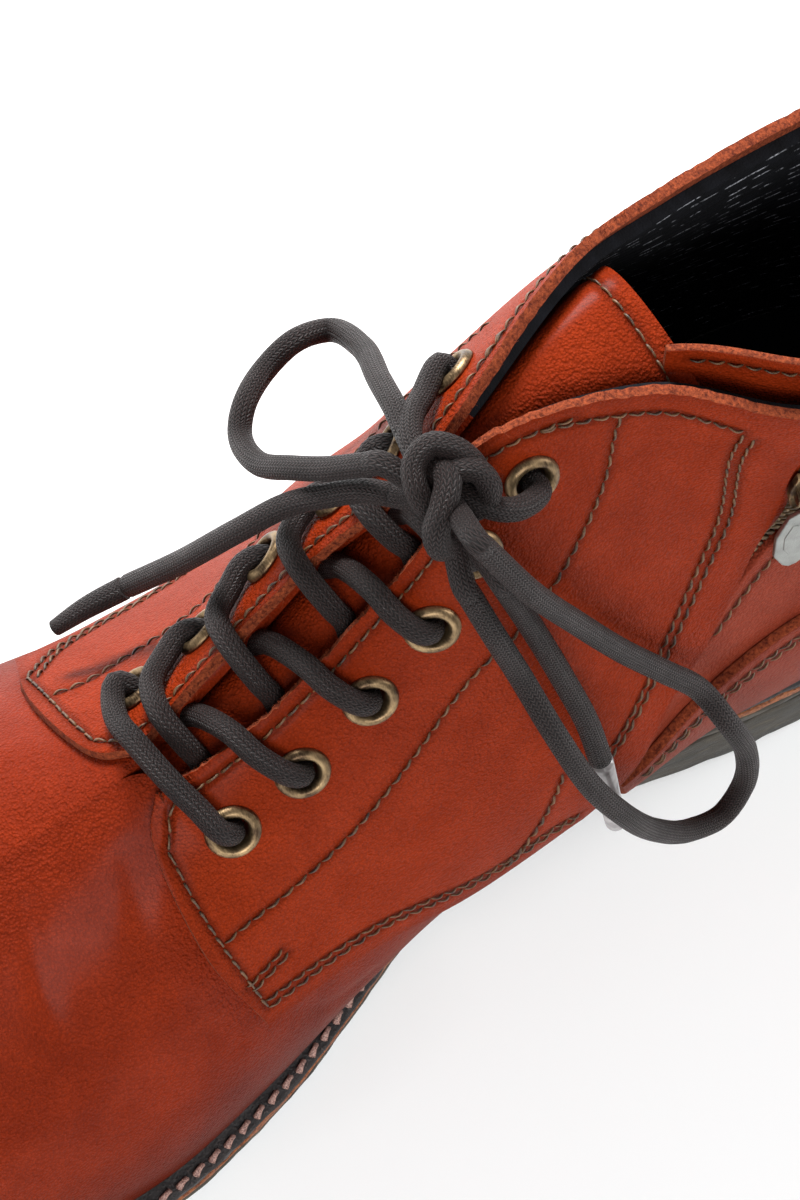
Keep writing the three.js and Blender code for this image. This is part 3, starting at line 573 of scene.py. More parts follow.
END_LATERAL = [[-3.5, 51.9, 131], [-7, 49.5, 128.6], [-10.6, 46.2, 123.5], [-14, 41.8, 118.5],
               [-17.1, 36.1, 109.1], [-22.2, 31.6, 91.9], [-28, 27.8, 74.8]]
TIP_LATERAL = [[-28.4, 27, 73.7], [-30, 21.4, 69], [-31, 16.6, 64.3]]


def free_cord(name, node, route):
    made, line, length = tube(name, route, LACE_DIAMETER, LACE)
    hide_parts(node)
    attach(made, "boot")
    tuple(line[0] * MM)
    length * MM
    [tuple(p) for p in line * MM]
    print(name, round(length), "mm")
    return made


def aglet_material():
    sh = Shader("clear_aglet", roughness=0.3, Coat_Weight=0.5, Transmission_Weight=0.25, IOR=1.45)
    cloudy = sh.noise(420, 3)
    sh.set("Base Color", sh.mix(sh.band(cloudy, 0.3, 0.7), srgb(104, 96, 96), srgb(176, 170, 170)))
    return sh.material


AGLET = aglet_material()
SEARED = lace_material("seared_lace", srgb(52, 41, 40), srgb(12, 9, 9))
tip_medial = tube("aglet_medial", TIP_MEDIAL, LACE_DIAMETER * 1.02, AGLET, taper=lambda t: 1 - 0.12 * t)[0]
tip_lateral = tube("aglet_lateral", TIP_LATERAL, LACE_DIAMETER, SEARED, taper=lambda t: 1 - 0.3 * t**2)[0]
for tip, node in ((tip_medial, "lace_tip_medial"), (tip_lateral, "lace_tip_lateral")):
    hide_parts(node)
    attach(tip, "boot")
free_cord("bow_loop_medial", "lace_loop_medial", LOOP_MEDIAL)
free_cord("bow_loop_lateral", "lace_loop_lateral", LOOP_LATERAL)
free_cord("bow_end_medial", "lace_end_medial", END_MEDIAL)
free_cord("bow_end_lateral", "lace_end_lateral", END_LATERAL)


# %% [markdown]
# ## Leather panels
# Each panel is a flat grid laid on the last, as the cut piece is pulled over it. The grid comes from a
# primitive, its points go to their places on the last, rows of stitches press a soft groove into it,
# and a Solidify modifier gives the leather its thickness and a raw rim. A Bevel softens the rim.

# %% Panels
# the last number is how far the painted shade beside a row of stitches reaches, in millimetres
GROOVE_DEPTH, GROOVE_WIDTH, SEAM_SHADE_BAND = 0.3, 0.8, 1.1
ROW_LENGTH, WALL_HEIGHT = 22, 105  # about a section's length and the upper's height round the wall
FAR = 99.0


def deselect_all():
    for other in list(bpy.context.selected_objects):
        other.select_set(False)


def nearest(points, lines):
    """For each point, its distance to the nearest point of some lines, in millimetres."""
    if not len(lines):
        return np.full(len(points), FAR)
    targets = np.vstack(lines)
    at_once = 4000  # points, to keep the table of distances small
    parts = [points[start:start + at_once] for start in range(0, len(points), at_once)]
    return np.concatenate([np.sqrt(((p[:, None] - targets[None]) ** 2).sum(-1).min(1)) for p in parts])


def apply_modifiers(made):
    deselect_all()
    made.select_set(True)
    bpy.context.view_layer.objects.active = made
    for modifier in list(made.modifiers):
        bpy.ops.object.modifier_apply(modifier=modifier.name)
    deselect_all()


def tidy(made):
    """Merges doubles and turns the faces outwards."""
    deselect_all()
    made.select_set(True)
    bpy.context.view_layer.objects.active = made
    bpy.ops.object.mode_set(mode="EDIT")
    bpy.ops.mesh.select_all(action="SELECT")
    bpy.ops.mesh.remove_doubles(threshold=0.00001)
    bpy.ops.mesh.dissolve_degenerate(threshold=0.000005)
    bpy.ops.mesh.normals_make_consistent(inside=False)
    bpy.ops.object.mode_set(mode="OBJECT")
    deselect_all()


def flat_sheet(name, steps_a, steps_b):
    deselect_all()
    bpy.ops.mesh.primitive_grid_add(x_subdivisions=steps_a, y_subdivisions=steps_b, size=1)
    made = bpy.context.object
    made.name = made.data.name = name
    return made


def shape_sheet(made, points, distance, shade, places):
    """Puts a sheet's points in place and writes its masks of painted shade, one beside the seams and one
    given by the caller, and its map in millimetres.
    """
    made.data.vertices.foreach_set("co", (points * MM).ravel())
    for layer, values in (("seam", np.exp(-((distance / SEAM_SHADE_BAND) ** 2))), ("shade_and_edge_darkening", shade)):
        made.data.attributes.new(layer, "FLOAT", "POINT").data.foreach_set("value", values)
    corner = np.empty(len(made.data.loops), dtype=int)
    made.data.loops.foreach_get("vertex_index", corner)
    made.data.uv_layers[0].name = "place_mm"
    made.data.uv_layers[0].data.foreach_set("uv", places[corner].astype(float).ravel())
    made.data.update()


def thicken(made, wall, materials, rim_roll):
    """Gives a sheet its thickness, with its own materials on the rim and the back, and rolls the rim."""
    solid = made.modifiers.new("thickness", "SOLIDIFY")
    solid.thickness = wall * MM
    solid.offset = -1
    solid.material_offset = min(2, len(materials) - 1)
    solid.material_offset_rim = min(1, len(materials) - 1)
    bevel = made.modifiers.new("rim", "BEVEL")
    bevel.width = rim_roll * MM
    bevel.segments = 2
    bevel.limit_method = "ANGLE"
    bevel.angle_limit = math.radians(50)
    apply_modifiers(made)
    made.data.shade_smooth()


def panel(name, where, steps_a, steps_b, height, wall, materials, shade_and_edge_darkening, grooves=(), holes=(),
          merge=False, relief=None, rim_roll=0.25, ragged=0.0):
    """A sheet of leather on the last. where(a, b) gives its places, materials are grain, rim and back."""
    made = flat_sheet(name, steps_a, steps_b)
    flat = np.empty(3 * len(made.data.vertices))
    made.data.vertices.foreach_get("co", flat)
    flat = flat.reshape(-1, 3)
    a, b = flat[:, 0] + 0.5, flat[:, 1] + 0.5
    u, v = where(a, b)
    if ragged:
        fray = np.array([abs(noise.noise(Vector((x * 9, 0, 3)))) for x in u])
        v = v - ragged / WALL_HEIGHT * fray * np.exp(-(1 - b) * 60)
    rise = np.full(len(a), float(height))
    surface = off_last(u, v, rise)
    distance = nearest(surface, grooves)
    rise = rise - GROOVE_DEPTH * np.exp(-((distance / GROOVE_WIDTH) ** 2))
    if relief is not None:
        rise = rise + relief(u, v, surface)
    girth = np.stack([u * ROW_LENGTH, v * WALL_HEIGHT], -1)
    shape_sheet(made, off_last(u, v, rise), distance, shade_and_edge_darkening(u, v, a, b), girth)
    for material in materials:
        made.data.materials.append(material)
    if merge or len(holes):
        punch(made, holes, merge)
    thicken(made, wall, materials, rim_roll)
    return made


def punch(made, holes, merge):
    """Merges touching edges and takes out the faces inside each hole, whose rim is then made round."""
    depth, catch, spare = 0.006, 1.8, 0.0001
    mesh = bmesh.new()
    mesh.from_mesh(made.data)
    if merge:
        bmesh.ops.remove_doubles(mesh, verts=mesh.verts, dist=0.00002)
    for centre, axis, radius in holes:
        centre, axis = Vector(centre * MM), Vector(axis)
        inside = []
        for vertex in mesh.verts:
            away = vertex.co - centre
            if abs(away.dot(axis)) < depth and (away - axis * away.dot(axis)).length < radius * MM:
                inside.append(vertex)
        bmesh.ops.delete(mesh, geom=inside, context="VERTS")
        for vertex in mesh.verts:
            away = vertex.co - centre
            radial = away - axis * away.dot(axis)
            near = abs(away.dot(axis)) < depth and radial.length < (radius + catch) * MM
            if vertex.is_boundary and near:
                vertex.co += radial.normalized() * (radius * MM + spare - radial.length)
    mesh.to_mesh(made.data)
    mesh.free()


def dress(made, slot, *nodes, body="boot"):
    if nodes:
        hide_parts(*nodes)
    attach(made, body)
    return made


# %% [markdown]
# ## Stitches
# A stitch is a short piece of two-ply thread that dives into the leather at both ends. One is modelled,
# with a section of two lobes that turns along it, and it is copied along each row at an even pitch,
# each copy a little askew, as the needle leaves it.

# %% Stitches
STITCH_PITCH, ON_LEATHER = 2.9, 0.02


def stitch_shape(length, thickness, sides=6, steps=6):
    rings = []
    for i in range(steps + 1):
        t = i / steps
        arch = thickness * (1.25 * math.sin(math.pi * t) - 0.7)
        end = 0.55 if i in (0, steps) else 1
        for k in range(sides):
            turn = math.tau * k / sides
            lobe = 1 + 0.28 * math.cos(2 * (turn - 2.6 * t))
            rings.append([(t - 0.5) * length, end * thickness * 0.62 * lobe * math.cos(turn),
                          arch + end * thickness * 0.5 * lobe * math.sin(turn)])
    faces = ring_faces(steps + 1, sides)
    faces.append(tuple(range(sides))[::-1])
    faces.append(tuple(steps * sides + k for k in range(sides)))
    return np.array(rings), faces


def stitches(name, rows, material, pitch=STITCH_PITCH, thickness=0.37, skew=4.0, fill=0.9):
    """rows is a list of (points, normals) of the lines that are sewn."""
    shape, shape_faces = stitch_shape(pitch * fill, thickness)
    points, faces = [], []
    for line, normals in rows:
        steps, length = even_steps(line, pitch)
        along = np.r_[0, np.cumsum(np.linalg.norm(np.diff(line, axis=0), axis=1))]
        for i in range(len(steps) - 1):
            middle = (steps[i] + steps[i + 1]) / 2
            at = (i + 0.5) * length / (len(steps) - 1)
            up = np.array([np.interp(at, along, normals[:, k]) for k in range(3)])
            up /= np.linalg.norm(up)
            forward = steps[i + 1] - steps[i]
            forward -= up * np.dot(forward, up)
            forward /= np.linalg.norm(forward)
            angle = math.radians(skew + rng.normal(0, 2.0))
            across = np.cross(up, forward)
            forward, across = (forward * math.cos(angle) + across * math.sin(angle),
                               across * math.cos(angle) - forward * math.sin(angle))
            faces += [tuple(len(points) * len(shape) + k for k in f) for f in shape_faces]
            points.append(middle + shape[:, :1] * forward + shape[:, 1:2] * across + shape[:, 2:] * up)
    made = mesh_object(name, np.vstack(points), faces, material)
    print(name, len(points), "stitches")
    return made


def sewn(places, height, count=200):
    line = smooth_line(np.asarray(places, float), count)
    u, v = line[:, 0], np.minimum(line[:, 1], 1)
    return off_last(u, v, np.full(count, float(height))), last_normal(u, v)


def mirrored(places):
    return [(-u, v) for u, v in places]


# %% [markdown]
# ## The upper
# The upper is one sheet lasted from the sole to the rim, closed over the toe. On the inner side it ends at
# the zip; the piece behind the zip is a second sheet with a turned edge along the teeth, in a paler, pinker
# copy of the leather that paints the haze of reflection on it.
# Its columns run along the boot, so the last column can follow the zip.

# %% The zip's line on the last
FLAP_EDGE = [(8.3, 0.24), (9.68, 0.35), (10.34, 0.4), (10.99, 0.51), (11.57, 0.67), (11.9, 0.86), (12.15, 1)]
QUARTER_FRONT = [(4.98, 0.38), (4.82, 0.6), (4.92, 0.84), (5.3, 0.95)]
ZIP_START, ZIP_END, ZIP_BEHIND = 0.14, 0.97, 4.4
EYELET_FROM_EDGE = 11.5
flap_line = smooth_line(np.array(FLAP_EDGE), 400)


def along_zip(t, sideways):
    """A place beside the zip's middle: t runs along the flap edge, sideways is in millimetres."""
    t = np.asarray(t, float)
    u = np.interp(np.minimum(t, 1), np.linspace(0, 1, 400), flap_line[:, 0])
    v = np.interp(np.minimum(t, 1), np.linspace(0, 1, 400), flap_line[:, 1])
    row = np.linalg.norm(last(u + 0.5, v) - last(u - 0.5, v), axis=-1)
    behind = -1 + (ZIP_BEHIND + 1) * smoothstep((t - 0.3) / 0.35)
    return u + (behind + sideways) / row, v + np.maximum(0, t - 1)


zip_steps = np.linspace(0.02, 1.0, 300)


def zip_edge(v, sideways):
    """The u of a line beside the zip at a height v, carried on down to the sole."""
    edge_u, edge_v = along_zip(zip_steps, sideways)
    below = np.interp(v, [0, edge_v[0]], [edge_u[0] - 0.25, edge_u[0]])
    return np.where(v < edge_v[0], below, np.interp(v, edge_v, edge_u))


def eyelet_place(row, side):
    u = side * row
    v = below_rim(u, EYELET_FROM_EDGE)
    out = last_normal(u, v)
    across = np.cross([0, 1, 0], out)
    across /= np.linalg.norm(across)
    return {"centre": last(u, v), "out": out, "across": across, "along": np.cross(out, across)}


EYELETS = {side: [eyelet_place(row, side) for row in EYELET_ROWS] for side in (1, -1)}
eyelet_holes = {side: [(e["centre"], e["out"], 3.3) for e in EYELETS[side]] for side in (1, -1)}
print("eyelet 1, inner side, is at", np.round(EYELETS[1][0]["centre"], 1))

# %% [markdown]
# The lining is the inner face of the same sheet. It is turned over the rim at the back of the collar,
# while the facings keep their leather edge, so the rim's material is chosen by place.

# %% The upper's two sheets
UPPER_COLUMNS, UPPER_LEVELS = 432, 76  # 18 columns to each section
ZIP_TURN = 7.0


def back_seam(v):
    """The seam under the outer quarter's rear edge, where the rear piece ends."""
    return np.interp(v, [0, 0.41, 0.68, 1.0], [-10.5, -10.7, -11.8, -13.2])


def upper_place(a, b):
    base = -12 + 24 * a
    edge, seam = zip_edge(b, -3.0), back_seam(b)
    inner_side = ZIP_TURN + (base - ZIP_TURN) / (12 - ZIP_TURN) * (edge - ZIP_TURN)
    outer_side = -ZIP_TURN + (base + ZIP_TURN) / (ZIP_TURN - 12) * (seam + ZIP_TURN)
    u = np.where(base > ZIP_TURN, inner_side, np.where(base < -ZIP_TURN, outer_side, base))
    # past the closed ridge the sheet ends a little below the quarter's edge
    return u, b * (1 - 0.026 * smoothstep((np.abs(u) - 5.8) / 0.6))


def rear_place(a, b):
    blend = smoothstep((b - 0.3) / 0.08)
    front = zip_edge(b, -3.0) * (1 - blend) + zip_edge(b, 3.0) * blend
    return front + a * (RING + back_seam(b) - front), b


def low_shade_and_rim_band(u, v, a, b):
    """The lower part is painted darker, as shade towards the sole, and so is a band along the rim."""
    return 0.8 * smoothstep((0.42 - v) / 0.4) + 0.3 * smoothstep((v - 0.97) / 0.03)


FLEX = [((4.75, 0.86), (4.5, 0.62), (4.75, 0.36)), ((5.15, 0.36), (5.6, 0.24), (6.1, 0.2)),
        ((4.1, 0.9), (3.8, 0.66), (3.9, 0.42)), ((7.4, 0.16), (8.2, 0.11), (9.1, 0.12))]
flex_lines = [line_on_last(places, 0, 90) for places in FLEX]


def vamp_relief(u, v, surface):
    """Shallow creases across the vamp where the foot bends, and a slow unevenness."""
    crease = nearest(surface, flex_lines)
    slow = np.array([noise.noise(Vector(p * 0.045)) for p in surface]) * 0.25
    return -0.4 * np.exp(-((crease / 2.2) ** 2)) + slow * smoothstep((1 - v) / 0.06)


upper = panel("upper_leather", upper_place, UPPER_COLUMNS, UPPER_LEVELS, 0, 2.1,
              (SHADE_PAINTED_VAMP_LEATHER, SHADE_PAINTED_VAMP_LEATHER, LINING), low_shade_and_rim_band,
              holes=eyelet_holes[1] + eyelet_holes[-1], merge=True, relief=vamp_relief)
COLLAR_FROM = 0.068  # behind this place the lining is turned over the rim
for polygon in upper.data.polygons:
    if polygon.material_index == 1 and polygon.center.y > COLLAR_FROM:
        polygon.material_index = 2
dress(upper, "leather", "upper")
ZIP_SEAM = [tuple(float(w) for w in along_zip(t, 7.0)) for t in np.linspace(0.28, 0.99, 24)]
# the rear piece's paler, pinker leather paints the haze of reflection on it
rear_piece = panel("rear_piece", rear_place, 170, 84, 0, 2.1, (HAZE_PAINTED_LEATHER, HAZE_PAINTED_LEATHER, LINING),
                   low_shade_and_rim_band, grooves=[line_on_last(ZIP_SEAM, 0)], rim_roll=0.7)
dress(rear_piece, "leather")

# %% [markdown]
# ## The quarters
# Each quarter is a second layer over the upper, cut with a raw edge. Its four edge lines are smooth
# lines of places, and a Coons patch fills them. The free edge of the inner quarter is the flap that
# covers the zip. The eyelets go through both layers near the facing's edge.

# %% The quarters
def patch(bottom, top, front, rear):
    grids = [smooth_line(np.array(places, float), 300) for places in (bottom, top, front, rear)]
    grids[1][:, 1] = np.minimum(grids[1][:, 1], 1)
    steps = np.linspace(0, 1, 300)

    def line(which, t, k):
        return np.interp(t, steps, grids[which][:, k])

    def at(a, b):
        out = []
        for k in (0, 1):
            low = line(0, 0.0, k) + (line(0, 1.0, k) - line(0, 0.0, k)) * a
            high = line(1, 0.0, k) + (line(1, 1.0, k) - line(1, 0.0, k)) * a
            across = line(0, a, k) * (1 - b) + line(1, a, k) * b
            up = line(2, b, k) * (1 - a) + line(3, b, k) * a
            out.append(across + up - (low * (1 - b) + high * b))
        return out[0], np.minimum(out[1], 1 - 0.15 * (1 - b))
    return at


inner_quarter = patch([(4.98, 0.38), (6.3, 0.36), (7.3, 0.26), (8.3, 0.24)],
                      [(5.3, 0.95), (6, 1), (8, 1), (10, 1), (12.15, 1)], QUARTER_FRONT, FLAP_EDGE)
outer_quarter_flat = patch([(4.98, 0.38), (6.6, 0.34), (8.6, 0.3), (10.2, 0.33), (11.3, 0.41)],
                           [(5.3, 0.95), (6, 1), (8, 1), (10, 1), (12, 1), (13.9, 1)], QUARTER_FRONT,
                           [(11.3, 0.41), (12.4, 0.68), (13.9, 1)])


def outer_quarter(a, b):
    u, v = outer_quarter_flat(1 - a, b)
    return -u, v


# Rows of stitches, as places on the last
FACING_SEAM = [(10.8, 0.95), (10.58, 0.82), (10.0, 0.71), (8.63, 0.75), (6.69, 0.67), (4.98, 0.61)]
EDGE_SEAM = [(5.02, 0.83), (5.4, 0.915), (6.0, 0.955), (7.0, 0.965), (8.5, 0.965), (10.0, 0.965),
             (10.55, 0.97)]
FRONT_SEAM = [(5.02, 0.83), (4.96, 0.72), (4.96, 0.6), (5.04, 0.42)]
LOWER_SEAM = [(5.04, 0.42), (6.4, 0.41), (7.33, 0.31), (8.05, 0.29), (8.25, 0.27)]
CROSS_SEAM = [(8.5, 0.45), (8.06, 0.38), (7.49, 0.29)]
BACK_SEAM = [(11.56, 0.92), (11.21, 0.7), (10.7, 0.56), (9.93, 0.45), (8.87, 0.41)]
TOP_SEAM = [(10.35, 0.965), (10.7, 0.955), (11.1, 0.945), (11.56, 0.93)]
SHORT_TACK = [(4.98, 0.48), (5.51, 0.51)]


def shifted(places, sideways):
    """The same row of stitches a few millimetres to its side, on the last."""
    line = smooth_line(np.asarray(places, float), 24)
    out = []
    for i, (u, v) in enumerate(line):
        a, b = line[max(0, i - 1)], line[min(len(line) - 1, i + 1)]
        du = float(np.linalg.norm(last(u + 0.2, min(v, 1)) - last(u - 0.2, min(v, 1)))) / 0.4
        dv = float(np.linalg.norm(last(u, min(v, 0.98)) - last(u, min(v, 0.98) - 0.02))) / 0.02
        along = np.array([(b[0] - a[0]) * du, (b[1] - a[1]) * dv])
        along /= np.linalg.norm(along)
        out.append((u - along[1] * sideways / du, v + along[0] * sideways / dv))
    return out


inner_rows = [FACING_SEAM, EDGE_SEAM, FRONT_SEAM, LOWER_SEAM, shifted(LOWER_SEAM, 1.9), CROSS_SEAM,
              BACK_SEAM, shifted(BACK_SEAM, 2.0), TOP_SEAM, SHORT_TACK, shifted(SHORT_TACK, 1.6)]
OUTER_LOWER = [(4.92, 0.5), (5.3, 0.42), (6.8, 0.375), (8.6, 0.335), (10.2, 0.365), (11.2, 0.43)]
OUTER_BACK = [(11.3, 0.47), (12.3, 0.7), (13.6, 0.965)]
OUTER_TOP = [(10.35, 0.965), (11.2, 0.96), (12.2, 0.96), (13.6, 0.965)]
outer_rows = [FACING_SEAM[1:], EDGE_SEAM, [(5.02, 0.83), (4.96, 0.72), (4.92, 0.5)], OUTER_LOWER,
              shifted(OUTER_LOWER, 1.9), OUTER_BACK, shifted(OUTER_BACK, -1.9), OUTER_TOP]
QUARTER_TOP, QUARTER_SHEET = 2.0, 1.9
QUARTER_LEATHER = (LEATHER, RAW_EDGE, RAW_EDGE)


def quarter_shade_and_edges(u, v, a, b):
    # darker along the panel's edges, and painted shade towards the sole
    edge = np.minimum(np.minimum(a, 1 - a) * 150, np.minimum(b, 1 - b) * 85)
    return 0.35 * np.exp(-((edge / 2.5) ** 2)) + 0.25 * smoothstep((0.4 - v) / 0.15)


grooves = [line_on_last(r, QUARTER_TOP) for r in inner_rows]
quarter_medial = panel("quarter_inner", inner_quarter, 190, 110, QUARTER_TOP, QUARTER_SHEET, QUARTER_LEATHER,
                       quarter_shade_and_edges, grooves=grooves, holes=eyelet_holes[1], ragged=1.2)
dress(quarter_medial, "leather", "quarter_medial")
grooves = [line_on_last(mirrored(r), QUARTER_TOP) for r in outer_rows]
quarter_lateral = panel("quarter_outer", outer_quarter, 210, 100, QUARTER_TOP, QUARTER_SHEET,
                        QUARTER_LEATHER, quarter_shade_and_edges, grooves=grooves, holes=eyelet_holes[-1],
                        ragged=1.2)
dress(quarter_lateral, "leather", "quarter_lateral")
COUNTER_START, COUNTER_FOOT = 8.8, 0.03
COUNTER_TOP = [(8.8, 0.26), (9.9, 0.28), (10.54, 0.3), (11.3, 0.37), (13, 0.44), (15, 0.46)]
counter_line = smooth_line(np.array(COUNTER_TOP), 300)


def counter_place(a, b):
    u = COUNTER_START + a * (RING - 2 * COUNTER_START)
    # the line was drawn by its parameter, so it is read by its parameter
    reached = (HEEL_ROW - np.abs(HEEL_ROW - u) - COUNTER_START) / (HEEL_ROW - COUNTER_START)
    top = np.interp(reached, np.linspace(0, 1, 300), counter_line[:, 1])
    return u, COUNTER_FOOT + (top - COUNTER_FOOT) * b


def counter_seam(u):
    return u, float(counter_place((u - COUNTER_START) / (RING - 2 * COUNTER_START), 1.0)[1]) - 0.03


counter_seams = [[counter_seam(u) for u in np.linspace(9.0, 21.0, 30)]]
counter_seams.append(shifted(counter_seams[0], -2.0))
# The counter also takes the paler, pinker copy of the leather, which paints the haze of reflection on it.
counter = panel("heel_counter", counter_place, 240, 40, QUARTER_TOP, QUARTER_SHEET,
                (HAZE_PAINTED_LEATHER, RAW_EDGE, RAW_EDGE), quarter_shade_and_edges,
                grooves=[line_on_last(r, QUARTER_TOP) for r in counter_seams])
dress(counter, "leather", "counter")

# %% [markdown]
# The threads follow the same rows that pressed the grooves, a little above the leather.

# %% The stitches of the quarters
for name, rows in (("inner_quarter", inner_rows), ("outer_quarter", [mirrored(r) for r in outer_rows]),
                   ("counter", counter_seams)):
    rows = [sewn(r, QUARTER_TOP + ON_LEATHER) for r in rows]
    dress(stitches("thread_" + name, rows, THREAD), "leather")
dress(stitches("thread_zip_seam", [sewn(ZIP_SEAM, ON_LEATHER)], THREAD), "leather")

# %% [markdown]
# ## Loose fibres
# Cut leather frays: short hairs stand out of the raw edges of the facings and of the collar.

# %% Fibres
def fibres(name, side, low, high, count):
    """Thin bent spikes along the rim between two rows of the last."""
    points, faces = [], []
    for u in side * rng.uniform(low, high, count):
        foot = off_last(u, 1.0, QUARTER_TOP - rng.uniform(0.1, 1.7))
        up = last_normal(u, 1.0)
        along = last(u + 0.05, 1.0) - last(u - 0.05, 1.0)
        along /= np.linalg.norm(along)
        outwards = np.cross(along, up) * side
        lean = up * rng.normal(0.2, 0.5) + along * rng.normal(0, 0.8)
        length, thick = rng.uniform(0.4, 1.5), rng.uniform(0.035, 0.07)
        base = len(points)
        for t in (0, 0.5, 1):
            middle = foot + length * (t * outwards + t * t * lean) - 0.2 * outwards
            width = thick * (1 - 0.8 * t)
            points += [middle + width * up, middle + width * along, middle - width * (up + along)]
        faces += [tuple(base + k for k in face) for face in ring_faces(3, 3)]
        faces.append((base + 6, base + 7, base + 8))
        faces.append((base + 2, base + 1, base))
    made = mesh_object(name, points, faces, RAW_EDGE, smooth=False)
    tidy(made)
    print(name, count, "fibres")
    return made


dress(fibres("fibres_inner", 1, 5.4, 12.0, 420), "leather")
dress(fibres("fibres_outer", -1, 5.4, 12.0, 420), "leather")

# %% [markdown]
# ## Tongue and guard
# The tongue lies under the lacing, close below the facings, and arches over the instep. The guard is a
# leather piece behind the zip that keeps it off the ankle.

# %% Tongue and guard
TONGUE_DROP = 0.2
TONGUE_ROWS = [5.05, 5.7, 6.7, 7.4, 8.1, 8.8, 9.5, 10.1, 10.6, 11, 11.3]


def tongue_points():
    rows = smooth_line(np.array([(r, 0.0) for r in TONGUE_ROWS]), 91)[:, 0]
    grid = []
    for row in rows:
        drop = -TONGUE_DROP * smoothstep((row - 5.4) / 0.9) * smoothstep((10.9 - row) / 1.0)
        depth = drop - UPPER_WALL - 0.8
        m, l = (off_last(np.full(5, s * row), np.linspace(0.8, 0.95, 5), np.full(5, depth)) for s in (1, -1))
        span = np.linalg.norm(m[-1] - l[-1])
        m_dir, l_dir = (p[-1] - p[-2] for p in (m, l))
        top = smoothstep((row - 9.6) / 1.6)
        m_out = m[-1] + m_dir / np.linalg.norm(m_dir) * span * (0.38 - 0.28 * top)
        l_out = l[-1] + l_dir / np.linalg.norm(l_dir) * span * (0.38 + 0.06 * top)
        t = np.linspace(0, 1, 33)[1:-1, None]
        arch = (1 - t)**3 * m[-1] + 3 * (1 - t)**2 * t * m_out + 3 * (1 - t) * t**2 * l_out + t**3 * l[-1]
        grid.append(np.vstack([m, arch, l[::-1]])[::-1])
    return np.array(grid)


def sheet_from_points(name, grid, materials, wall, seams=(), rim_roll=0.25):
    """Lays a primitive grid on a table of points and gives it its thickness."""
    rows, columns = grid.shape[:2]
    made = flat_sheet(name, columns - 1, rows - 1)
    points = grid.reshape(-1, 3).copy()
    normals = np.cross(np.gradient(grid, axis=1), np.gradient(grid, axis=0)).reshape(-1, 3)
    normals /= np.linalg.norm(normals, axis=1, keepdims=True)
    distance = nearest(points, seams)
    points -= normals * (GROOVE_DEPTH * np.exp(-((distance / GROOVE_WIDTH) ** 2)))[:, None]
    along = np.stack(np.meshgrid(np.arange(columns), np.arange(rows)), -1).reshape(-1, 2) * 1.2
    shape_sheet(made, points, distance, np.full(len(points), 0.2), along)
    for material in materials:
        made.data.materials.append(material)
    thicken(made, wall, materials, rim_roll)
    return made, normals.reshape(grid.shape)


tongue_grid = tongue_points()
TONGUE_SEAM = slice(3, -3)
tongue_seam = tongue_grid[-6][TONGUE_SEAM]
tongue, tongue_normals = sheet_from_points("tongue_leather", tongue_grid, (LEATHER, RAW_EDGE, LINING), 1.8,
                                           seams=[smooth_line(tongue_seam, 160)])
dress(tongue, "leather", "tongue")
tongue_row = (tongue_seam, tongue_normals[-6][TONGUE_SEAM])
dress(stitches("thread_tongue", [tongue_row], THREAD), "leather")


GUARD_FROM, GUARD_REACH, GUARD_FOOT, GUARD_INSIDE = 11.1, 2.1, 0.68, -4.4


def guard_place(a, b):
    rim = 1 + 0.055 * np.sin(np.pi * np.minimum(1, 0.15 + a))
    return GUARD_FROM + GUARD_REACH * a, GUARD_FOOT + (rim - GUARD_FOOT) * b


def guard_points(a, b):
    u, v = guard_place(a, b)
    return off_last(u, v, np.full(np.shape(u), GUARD_INSIDE))


guard_grid = guard_points(*np.meshgrid(np.linspace(0, 1, 61), np.linspace(0, 1, 61)))
guard_sewn = smooth_line(guard_points(np.linspace(0.06, 0.94, 16), 0.92), 100)
guard, _ = sheet_from_points("zip_guard_leather", guard_grid, (LEATHER, RAW_EDGE, LINING), 1.4,
                             seams=[guard_sewn])
dress(guard, "leather", "zip_guard")
guard_up = last_normal(np.linspace(GUARD_FROM, GUARD_FROM + GUARD_REACH, 100), np.full(100, 0.95))
dress(stitches("thread_guard", [(guard_sewn + guard_up * ON_LEATHER, guard_up)], THREAD), "leather")


# %% [markdown]
# ## The sole
# The sole is a stack of plates with one outline, the sole's edge line pushed outwards. Each plate is a
# loop across the boot, from one edge over the top to the other and back underneath, carried from the
# toe to the heel. The loop's corners are rounded, as a sanding wheel leaves them.

# %% Sole materials
def rubber_material(name, light, dark, streaks):
    sh = Shader(name, roughness=0.7)
    where = sh.place((1, 1, 3.2))
    cloud = sh.noise(60, 4, where=where)
    scuff = sh.noise(340, 4, where=sh.place((0.5, 0.5, 2.4)), roughness=0.65)
    tone = sh.band(cloud * 0.6 + scuff * 0.5, 0.42, 0.66)
    colour = sh.mix(tone, dark, light)
    worn = sh.band(scuff, 0.58, 0.7) * streaks
    colour = sh.mix(worn, colour, srgb(150, 140, 122))
    sh.set("Base Color", colour)
    sh.set("Roughness", 0.62 + sh.band(scuff, 0.4, 0.7) * 0.25)
    fine = sh.noise(2400, 3)
    sh.set("Normal", sh.bump(fine * 0.5 + scuff * 1.2, 0.0004, 0.7))
    return sh.material


HEEL_RUBBER = rubber_material("heel_rubber", srgb(60, 54, 44), srgb(26, 24, 19), streaks=0.22)
SOLE_RUBBER = rubber_material("sole_rubber", srgb(70, 64, 54), srgb(34, 31, 26), streaks=0.2)


def line_material():
    sh = Shader("cork_line", roughness=0.75)
    grit = sh.noise(1400, 4, roughness=0.7)
    sh.set("Base Color", sh.mix(sh.band(grit, 0.38, 0.62), srgb(92, 46, 25), srgb(158, 94, 54)))
    sh.set("Normal", sh.bump(grit, 0.0003, 0.8))
    return sh.material


